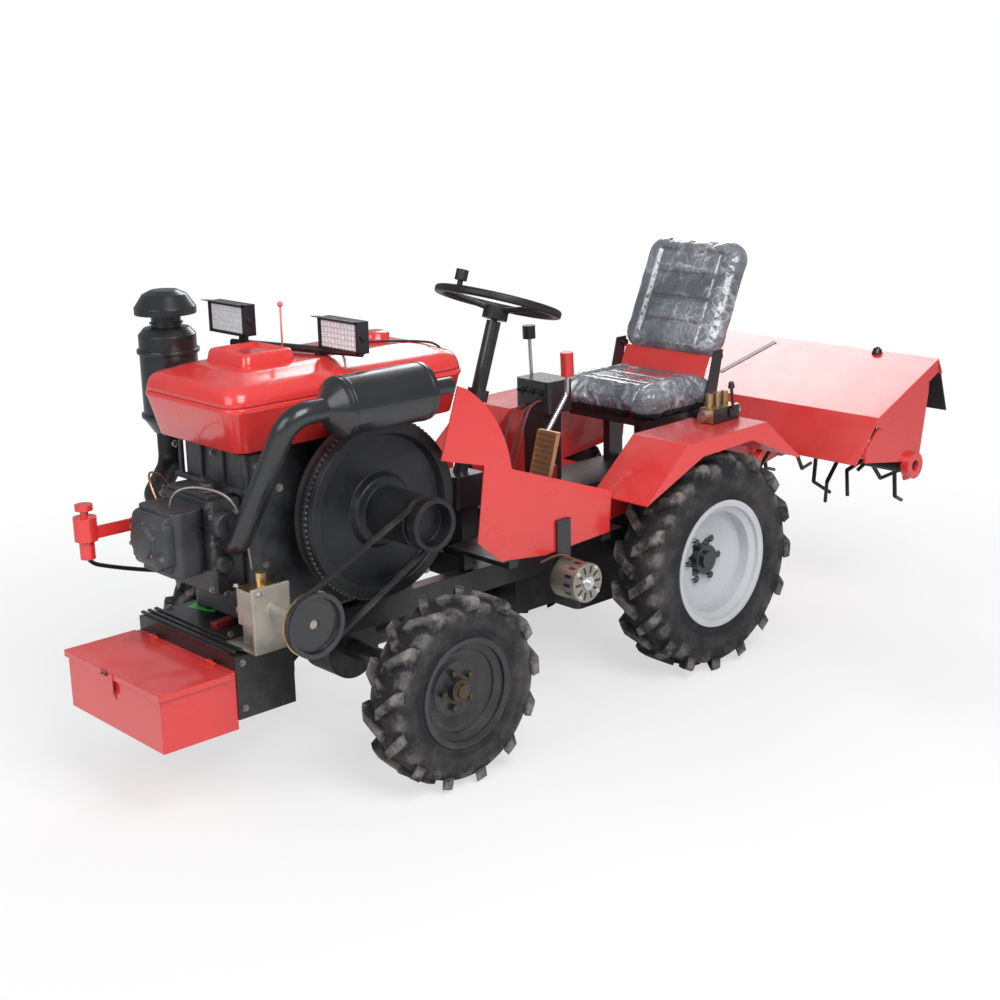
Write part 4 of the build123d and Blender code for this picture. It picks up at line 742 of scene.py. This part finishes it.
def make_seat():
    """Cushion and backrest, blown up under clear film, and the red plate between them."""
    cushion = Matrix.Translation(at(-0.143, 0.0, 0.889))
    size = (0.396, 0.466, 0.092)
    soft_pad("cushion_pad", "seat_cushion", size, 0.065, cushion, 0.024, carve_cushion)
    bottom = Vector(at(-0.280, 0.0, 1.012))
    top = Vector(at(-0.468, 0.0, 1.430))
    up = (top - bottom).normalized()
    across = Vector((0.0, 1.0, 0.0))
    front = across.cross(up)
    turn = Matrix((across, up, front)).transposed().to_4x4()
    middle = (bottom + top) / 2 - front * 0.0375
    length = (top - bottom).length
    turn.translation = middle
    size = (0.456, length - 0.004, 0.066)
    soft_pad("backrest_pad", "seat_backrest", size, 0.080, turn, 0.014, carve_backrest)
    plate = bmesh.new()
    add_plate(plate, at(-0.290, 0.0, 0.982), (0.006, 0.400, 0.085), (0.0, -0.42, 0.0))
    add_plate(plate, at(-0.272, 0.0, 0.943), (0.022, 0.372, 0.005))
    bevel_edges(plate, 0.0015)
    new_piece("seat_back_plate", plate, materials["red_paint"], smooth=False)


def bevel_edges(shape, width):
    """Breaks every sharp edge of a shape."""
    sharp = [edge for edge in shape.edges if len(edge.link_faces) == 2 and edge.calc_face_angle() > 0.6]
    bmesh.ops.bevel(shape, geom=sharp, offset=width, segments=2, profile=0.5, affect="EDGES")


def hex_bolt(shape, place, direction, size=0.013):
    """Adds a hex head on a washer that looks along a direction."""
    place, direction = Vector(place), Vector(direction).normalized()
    add_bar(shape, place, place + direction * size * 0.16, size * 0.75)
    add_bar(shape, place, place + direction * size * 0.62, size * 0.56, size * 0.52, sides=6)


def make_engine_details():
    """Covers, studs, pipes and hoses that show on the open engine."""
    castings = bmesh.new()
    cover_x = rocker_cover_x
    # rocker box on the front of the head, with its rounded cover
    for z in (0.712, 0.826):
        add_bar(castings, at(cover_x, -0.082, z), at(cover_x, 0.082, z), 0.0235)
    add_plate(castings, at(cover_x + 0.008, 0.0, 0.768), (0.030, 0.180, 0.112))
    foot_x = cover_x + 0.015
    add_bar(castings, at(foot_x, -0.030, 0.766), at(cover_x + 0.034, -0.030, 0.766), 0.058, 0.050, 40)
    add_bar(castings, at(foot_x, 0.060, 0.722), at(cover_x + 0.038, 0.060, 0.722), 0.026, 0.022, 28)
    # side bosses of the cylinder head
    add_bar(castings, at(1.725, 0.120, 0.810), at(1.725, 0.158, 0.810), 0.045, 0.040, 36)
    add_bar(castings, at(1.735, 0.120, 0.700), at(1.735, 0.150, 0.700), 0.030, 0.026, 28)
    add_plate(castings, at(1.715, 0.0, 0.885), (0.086, 0.210, 0.018))
    add_bar(castings, at(1.715, 0.050, 0.885), at(1.715, 0.050, 0.918), 0.030, 0.024, 28)
    # ribs and boss on the block's upper front
    for y in (-0.165, -0.055, 0.055, 0.165):
        add_plate(castings, at(1.664, y, 0.950), (0.014, 0.012, 0.115))
    add_plate(castings, at(1.667, 0.0, 0.895), (0.020, 0.380, 0.016))
    add_bar(castings, at(1.655, 0.190, 0.600), at(1.680, 0.190, 0.600), 0.045, 0.040, 32)
    add_bar(castings, at(1.655, -0.170, 0.640), at(1.683, -0.170, 0.640), 0.038, 0.034, 32)
    bevel_edges(castings, 0.003)
    new_piece("engine_covers", castings, materials["engine_grey"])

    bolts = bmesh.new()
    for step in range(6):
        angle = math.radians(60 * step + 20)
        place = at(cover_x + 0.022, -0.030 + 0.066 * math.cos(angle), 0.766 + 0.052 * math.sin(angle))
        hex_bolt(bolts, place, (1, 0, 0), 0.011)
    for step in range(4):
        angle = math.radians(90 * step + 45)
        place = at(1.725 + 0.055 * math.cos(angle), 0.130, 0.800 + 0.055 * math.sin(angle))
        hex_bolt(bolts, place, (0, 1, 0), 0.012)
    for y, z in ((-0.116, 0.625), (0.116, 0.625), (-0.116, 0.865), (0.116, 0.865)):
        hex_bolt(bolts, at(1.765, y, z), (1, 0, 0), 0.014)
    for y, z in ((-0.20, 0.56), (0.235, 0.54), (0.235, 0.70), (-0.20, 0.98), (0.22, 0.98), (0.0, 0.985)):
        hex_bolt(bolts, at(1.660, y, z), (1, 0, 0), 0.015)
    for x, z in ((1.10, 0.56), (1.62, 0.56), (1.62, 0.92)):
        hex_bolt(bolts, at(x, 0.2595, z), (0, 1, 0), 0.015)
    new_piece("engine_bolts", bolts, materials["bolt_steel"], smooth=False)

    # injection pipe, return pipe and hoses
    steel = materials["bolt_steel"]
    black = materials["hose_rubber"]
    hose("injection_pipe", 0.0042, steel, (
        (1.690, 0.205, 0.690), (1.700, 0.205, 0.800), (1.725, 0.180, 0.905), (1.790, 0.090, 0.930),
        (1.835, 0.040, 0.905), (1.835, 0.035, 0.862),
    ))
    hose("return_pipe", 0.0034, materials["copper"], (
        (1.820, -0.060, 0.868), (1.830, -0.080, 0.925), (1.780, -0.150, 0.930), (1.700, -0.200, 0.880),
        (1.668, -0.210, 0.800),
    ))
    hose("fuel_hose", 0.0065, black, (
        (1.950, -0.262, 0.700), (1.930, -0.285, 0.655), (1.860, -0.300, 0.625), (1.780, -0.290, 0.600),
        (1.720, -0.250, 0.590), (1.662, -0.200, 0.585),
    ))
    hose("coolant_hose", 0.014, black, (
        (1.690, -0.170, 0.650), (1.735, -0.185, 0.655), (1.765, -0.185, 0.720), (1.762, -0.160, 0.800),
        (1.745, -0.128, 0.815),
    ))
    hose("pump_hose", 0.011, black, (
        (1.700, 0.172, 0.560), (1.700, 0.120, 0.560), (1.640, 0.060, 0.530), (1.560, 0.020, 0.515),
    ))
    # fittings on the hydraulic pump
    fittings = bmesh.new()
    add_bar(fittings, at(1.700, 0.150, 0.560), at(1.700, 0.176, 0.560), 0.017, sides=6)
    for x, z in ((1.655, 0.50), (1.749, 0.50), (1.655, 0.62), (1.749, 0.62)):
        hex_bolt(fittings, at(x, 0.168, z), (0, -1, 0), 0.013)
    for x, y in ((1.662, 0.20), (1.742, 0.20), (1.742, 0.31)):
        hex_bolt(fittings, at(x, y, 0.649), (0, 0, 1), 0.013)
    new_piece("pump_fittings", fittings, materials["bright_steel"], smooth=False)


def make_driver_details():
    """Lever pedestal in painted shade, throttle cables and switches at the driver's place."""
    # painted shade: the pedestal is red paint, given dark red to stand for the shade it stands in
    red = materials["dark_red"]
    base = bmesh.new()
    add_plate(base, at(0.420, 0.095, 0.650), (0.060, 0.050, 0.170))
    add_bar(base, at(0.420, 0.095, 0.730), at(0.420, 0.095, 0.765), 0.026, 0.016)
    bevel_edges(base, 0.003)
    new_piece("lever_pedestal", base, red, smooth=False)
    for number, (y, lift) in enumerate(((0.020, 0.0), (0.048, 0.015), (-0.030, -0.01))):
        hose("throttle_cable_%d" % number, 0.0045, materials["cable_brown"], (
            (0.392, y, 0.930 + lift), (0.450, y + 0.010, 0.935 + lift),
            (0.500, y + 0.020, 0.860 + lift), (0.520, y + 0.010, 0.760), (0.600, y, 0.600),
        ))
    switches = bmesh.new()
    for y in (-0.045, 0.0, 0.045):
        add_bar(switches, at(0.388, y, 0.970), at(0.399, y, 0.970), 0.011, 0.010)
        add_bar(switches, at(0.399, y, 0.970), at(0.413, y, 0.976), 0.004)
    new_piece("console_switches", switches, materials["knob_black"], smooth=False)


def make_deck_details():
    """The card, block, ribs and bolts of the front deck."""
    card = bmesh.new()
    add_plate(card, at(1.618, -0.154, 0.4758), (0.075, 0.10, 0.0016), (0.0, 0.0, 0.35))
    new_piece("deck_card", card, materials["green_label"], smooth=False)
    block = bmesh.new()
    add_plate(block, at(1.690, 0.035, 0.4860), (0.070, 0.028, 0.022), (0.0, 0.0, 0.1))
    bevel_edges(block, 0.003)
    new_piece("deck_block", block, materials["dark_red"], smooth=False)
    ribs = bmesh.new()
    for x in (1.745, 1.768, 1.790):
        add_plate(ribs, at(x, 0.0, 0.478), (0.011, 0.490, 0.008))
    bevel_edges(ribs, 0.0015)
    new_piece("deck_ribs", ribs, materials["black_frame"], smooth=False)
    bolts = bmesh.new()
    for x, z in ((1.775, 0.445), (1.775, 0.310), (1.60, 0.445)):
        hex_bolt(bolts, at(x, 0.2555, z), (0, 1, 0), 0.014)
    for y in (-0.22, 0.22):
        hex_bolt(bolts, at(1.71, y, 0.4750), (0, 0, 1), 0.015)
    new_piece("deck_bolts", bolts, materials["bolt_steel"], smooth=False)


def add_outline(shape, height, length, half, corner, middle):
    """Adds a ring of points on a rounded rectangle at a height."""
    points = []
    for turn, (sx, sy) in enumerate(((1, 1), (-1, 1), (-1, -1), (1, -1))):
        cx = middle[0] + sx * (length / 2 - corner)
        cy = middle[1] + sy * (half - corner)
        for step in range(9):
            angle = math.radians(90 * turn + step * 90 / 8)
            points.append((cx + corner * math.cos(angle), cy + corner * math.sin(angle), height))
    return [shape.verts.new(point) for point in points]


def add_shell(shape, rings):
    """Joins rings of equal count into one closed skin, flat at both ends."""
    for low, high in zip(rings, rings[1:]):
        count = len(low)
        for index in range(count):
            after = (index + 1) % count
            shape.faces.new((low[index], low[after], high[after], high[index]))
    shape.faces.new(list(reversed(rings[0])))
    shape.faces.new(rings[-1])


def make_tank_hood():
    """The pressed hood: a tapered tub, a lipped seam, a shouldered top, filler boss and cap."""
    shape = bmesh.new()
    low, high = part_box("tank_hood")
    middle = ((low.x + high.x) / 2, 0.0)
    length = high.x - low.x
    half = (high.y - low.y) / 2
    rows = (
        # height, length, half-width, corner
        (1.020, -0.070, -0.030, 0.040),
        (1.023, -0.062, -0.026, 0.044),
        (1.132, -0.008, -0.006, 0.052),
        (1.137, -0.002, -0.001, 0.055),
        (1.140, 0.000, 0.000, 0.056),
        (1.147, 0.000, 0.000, 0.056),
        (1.1495, -0.003, -0.0015, 0.055),
        (1.1500, -0.012, -0.006, 0.052),
        (1.1525, -0.012, -0.006, 0.052),
        (1.1530, -0.006, -0.003, 0.055),
        (1.165, -0.008, -0.004, 0.055),
        (1.183, -0.016, -0.010, 0.055),
        (1.196, -0.030, -0.019, 0.054),
        (1.205, -0.052, -0.034, 0.050),
        (1.2095, -0.084, -0.056, 0.046),
        (1.222, -0.140, -0.092, 0.042),
        (1.229, -0.176, -0.116, 0.040),
        (1.232, -0.200, -0.128, 0.040),
    )
    rings = []
    for z, dx, dy, corner in rows:
        rings.append(add_outline(shape, z, length + dx, half + dy, corner, middle))
    add_shell(shape, rings)
    boss = at(1.512, 0.0, 0.0)
    rows = (
        (1.208, 0.196, 0.110, 0.026),
        (1.240, 0.180, 0.102, 0.022),
        (1.258, 0.172, 0.098, 0.020),
        (1.265, 0.164, 0.094, 0.018),
        (1.268, 0.152, 0.088, 0.016),
        (1.267, 0.140, 0.082, 0.014),
        (1.258, 0.128, 0.076, 0.012),
        (1.256, 0.116, 0.070, 0.012),
    )
    add_shell(shape, [add_outline(shape, *row, boss) for row in rows])
    cap = at(1.054, 0.0, 0.0)
    rows = ((1.222, 0.052), (1.230, 0.052), (1.2305, 0.044), (1.251, 0.044), (1.257, 0.040), (1.260, 0.032))
    rings = []
    for height, radius in rows:
        ring = []
        for step in range(48):
            angle = math.radians(7.5 * step)
            grip = 0.0016 * (step % 2) if 1.2302 < height < 1.252 else 0.0
            ring.append(shape.verts.new((
                cap[0] + (radius - grip) * math.cos(angle), (radius - grip) * math.sin(angle), height)))
        rings.append(ring)
    add_shell(shape, rings)
    piece = new_piece("hood_skin", shape, materials["red_paint"])
    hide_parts("tank_hood")


def make_ring_gear():
    """Starter teeth round the flywheel's rim."""
    shape = bmesh.new()
    centre = Vector(at(crank_x, 0.0, crank_z))
    teeth = 96
    face_y = (0.286, 0.304)
    tip, root, bore = 0.2700, 0.2625, 0.250
    count = teeth * 4

    def ring(y, tip_radius, root_radius):
        points = []
        for step in range(count):
            radius = tip_radius if step % 4 in (1, 2) else root_radius
            angle = 2 * math.pi * (step + 0.5) / count
            place = (centre.x + radius * math.cos(angle), y, centre.z + radius * math.sin(angle))
            points.append(shape.verts.new(place))
        return points

    outer = [ring(y, tip, root) for y in face_y]
    inner = [ring(y, bore, bore) for y in face_y]
    pairs = (
        (outer[0], outer[1]),
        (inner[1], inner[0]),
        (inner[0], outer[0]),
        (outer[1], inner[1]),
    )
    for first, second in pairs:
        for index in range(count):
            after = (index + 1) % count
            shape.faces.new((first[index], first[after], second[after], second[index]))
    bmesh.ops.recalc_face_normals(shape, faces=shape.faces)
    new_piece("ring_gear", shape, materials["gear_iron"], "engine_flywheel", smooth=False)


def make_bands():
    """Seam rings of the muffler and bands of the air cleaner."""
    muffler_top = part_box("exhaust_muffler")[1].z
    shape = bmesh.new()
    middle_z = 1.150
    radius = muffler_top - middle_z
    for x in (1.228, 1.500):
        ends = [at(x + half, 0.400, middle_z) for half in (-0.005, 0.005)]
        add_bar(shape, *ends, radius + 0.0012, sides=48)
    bevel_edges(shape, 0.001)
    new_piece("muffler_seams", shape, materials["black_enamel"])
    shape = bmesh.new()
    for z in (1.030, 1.225):
        add_bar(shape, at(1.575, -0.342, z), at(1.575, -0.342, z + 0.012), 0.0935, sides=48)
    for z in (1.300, 1.312):
        add_bar(shape, at(1.575, -0.342, z), at(1.575, -0.342, z + 0.005), 0.050, sides=36)
    bevel_edges(shape, 0.001)
    new_piece("cleaner_bands", shape, materials["black_enamel"])


def make_alternator_details():
    """Cooling slots as dark plates of painted shade, end cover, pulley nut and bolts of the alternator."""
    centre = at(0.640, 0.0, 0.462)
    # painted shade: thin black plates on the casting stand for the shade inside the cooling slots
    shape = bmesh.new()
    for step in range(10):
        angle = math.radians(36 * step)
        add_plate(
            shape,
            (centre[0] + 0.043 * math.cos(angle), 0.5003, centre[2] + 0.043 * math.sin(angle)),
            (0.024, 0.0018, 0.007),
            (0.0, -angle, 0.0),
        )
    for step in range(14):
        angle = 2 * math.pi * step / 14
        add_plate(
            shape,
            (centre[0] + 0.0640 * math.cos(angle), 0.470, centre[2] + 0.0640 * math.sin(angle)),
            (0.0020, 0.026, 0.010),
            (0.0, -angle, 0.0),
        )
    new_piece("alternator_slot_shade", shape, materials["lens_frame"], smooth=False)
    shape = bmesh.new()
    add_bar(shape, (centre[0], 0.499, centre[2]), (centre[0], 0.506, centre[2]), 0.025, 0.022, 36)
    hex_bolt(shape, (centre[0], 0.506, centre[2]), (0, 1, 0), 0.018)
    for step in range(4):
        angle = math.radians(90 * step + 40)
        hex_bolt(shape, (centre[0] + 0.055 * math.cos(angle), 0.500, centre[2] + 0.055 * math.sin(angle)),
                 (0, 1, 0), 0.010)
    new_piece("alternator_nuts", shape, materials["bright_steel"], smooth=False)
    hose("alternator_lead", 0.004, materials["cable_brown"], (
        (0.640, 0.440, 0.524), (0.660, 0.420, 0.545), (0.690, 0.395, 0.540), (0.720, 0.370, 0.520),
    ))


def make_tiller_details():
    """Slot, a dark plate of painted shade, and stop on the tiller's sheet, which ride with the tiller."""
    slope = math.atan2(0.947 - 0.781, 0.380)
    # painted shade: a thin black plate just above the sheet stands for the shade in the slot
    shape = bmesh.new()
    start = Vector(at(-0.873, -0.209, 0.8317 + 0.0006))
    end = Vector(at(-1.106, -0.116, 0.9335 + 0.0006))
    run = end - start
    side = run.cross(Vector((math.sin(slope), 0.0, math.cos(slope)))).normalized() * 0.012
    lift = Vector((math.sin(slope), 0.0, math.cos(slope))) * 0.0016
    corners = [start - side, end - side, end + side, start + side]
    low = [shape.verts.new(corner) for corner in corners]
    high = [shape.verts.new(corner + lift) for corner in corners]
    add_shell(shape, [low, high])
    bmesh.ops.recalc_face_normals(shape, faces=shape.faces)
    new_piece("tiller_slot_shade", shape, materials["lens_frame"], "tiller", smooth=False)
    shape = bmesh.new()
    add_bar(shape, at(-1.120, 0.358, 0.936), at(-1.128, 0.358, 0.956), 0.020, 0.016, 28)
    add_bar(shape, at(-1.128, 0.358, 0.956), at(-1.130, 0.358, 0.962), 0.010, 0.008, 20)
    new_piece("tiller_stop", shape, materials["black_enamel"], "tiller", smooth=False)


def make_valve_details():
    """Lever and hoses of the hydraulic valve."""
    shape = bmesh.new()
    add_bar(shape, at(-0.150, 0.436, 0.880), at(-0.125, 0.446, 0.965), 0.0055)
    add_bar(shape, at(-0.125, 0.446, 0.965), at(-0.120, 0.448, 0.985), 0.012, 0.009, 24)
    add_plate(shape, at(-0.152, 0.434, 0.875), (0.040, 0.008, 0.030))
    bevel_edges(shape, 0.001)
    new_piece("valve_lever", shape, materials["knob_black"], smooth=False)
    for number, x in enumerate((-0.160, -0.080)):
        hose("valve_hose_%d" % number, 0.008, materials["hose_rubber"], (
            (x, 0.385, 0.875), (x, 0.345, 0.880), (x - 0.02, 0.300, 0.850), (x - 0.05, 0.290, 0.760),
            (x - 0.06, 0.290, 0.640),
        ))


def make_small_details():
    """Pedal ribs, fuel marker, lamp rims with visors and fins, lamp lead and toolbox hasp."""
    shape = bmesh.new()
    low_point = Vector(at(0.6055, 0.0, 0.745))
    high_point = Vector(at(0.5605, 0.0, 0.900))
    lean = math.atan2(low_point.x - high_point.x, high_point.z - low_point.z)
    for step in range(9):
        share = (step + 0.5) / 9
        place = low_point.lerp(high_point, share)
        add_plate(shape, (place.x + 0.001, 0.250, place.z), (0.006, 0.084, 0.007), (0.0, -lean, 0.0))
    for y in (0.209, 0.291):
        place = low_point.lerp(high_point, 0.5)
        add_plate(shape, (place.x + 0.0015, y, place.z), (0.007, 0.007, 0.158), (0.0, -lean, 0.0))
    bevel_edges(shape, 0.0008)
    new_piece("pedal_ribs", shape, materials["pedal_zinc"], smooth=False)

    shape = bmesh.new()
    add_bar(shape, at(1.400, 0.0, 1.234), at(1.400, 0.0, 1.375), 0.0028, sides=12)
    bmesh.ops.create_icosphere(
        shape, subdivisions=3, radius=0.0085, matrix=Matrix.Translation(at(1.400, 0.0, 1.380))
    )
    add_bar(shape, at(1.400, 0.0, 1.230), at(1.400, 0.0, 1.242), 0.009, 0.006, 16)
    new_piece("fuel_marker", shape, materials["marker_pink"])

    shape = bmesh.new()
    for x, y, z in lamp_places:
        front = x + 0.0015
        for dz, tall in ((0.0425, 0.007), (-0.0425, 0.007)):
            add_plate(shape, at(front, y, z + dz), (0.006, 0.182, tall))
        for dy in (-0.0875, 0.0875):
            add_plate(shape, at(front, y + dy, z), (0.006, 0.007, 0.092))
        add_plate(shape, at(x + 0.010, y, z + 0.0480), (0.032, 0.186, 0.0025), (0.0, -0.12, 0.0))
        for dy in (-0.0935, 0.0935):
            ends = [at(x - 0.020, y + dy + half, z) for half in (-0.004, 0.004)]
            add_bar(shape, *ends, 0.010, sides=16)
        for fin in range(7):
            add_plate(shape, at(x - 0.043, y - 0.066 + fin * 0.022, z), (0.008, 0.004, 0.078))
    bevel_edges(shape, 0.0008)
    new_piece("lamp_rims", shape, materials["lens_frame"], smooth=False)

    hose("lamp_lead", 0.0035, materials["hose_rubber"], (
        (1.285, 0.180, 1.285), (1.262, 0.150, 1.262), (1.240, 0.060, 1.244), (1.150, 0.020, 1.240),
        (1.000, 0.120, 1.236), (0.900, 0.130, 1.215), (0.862, 0.120, 1.120), (0.840, 0.110, 1.040),
    ))

    shape = bmesh.new()
    add_plate(shape, at(2.0525, -0.020, 0.4215), (0.004, 0.026, 0.012))
    add_bar(shape, at(2.0535, -0.033, 0.4150), at(2.0535, -0.007, 0.4150), 0.0035, sides=12)
    new_piece("toolbox_hasp", shape, materials["dark_red"], "lid", smooth=False)


make_camera()
make_stage()
materials = make_materials()
dress_nodes(materials)
paint_details(materials)
make_seat()
make_engine_details()
make_driver_details()
make_deck_details()
make_tank_hood()
make_ring_gear()
make_bands()
make_alternator_details()
make_tiller_details()
make_valve_details()
make_small_details()
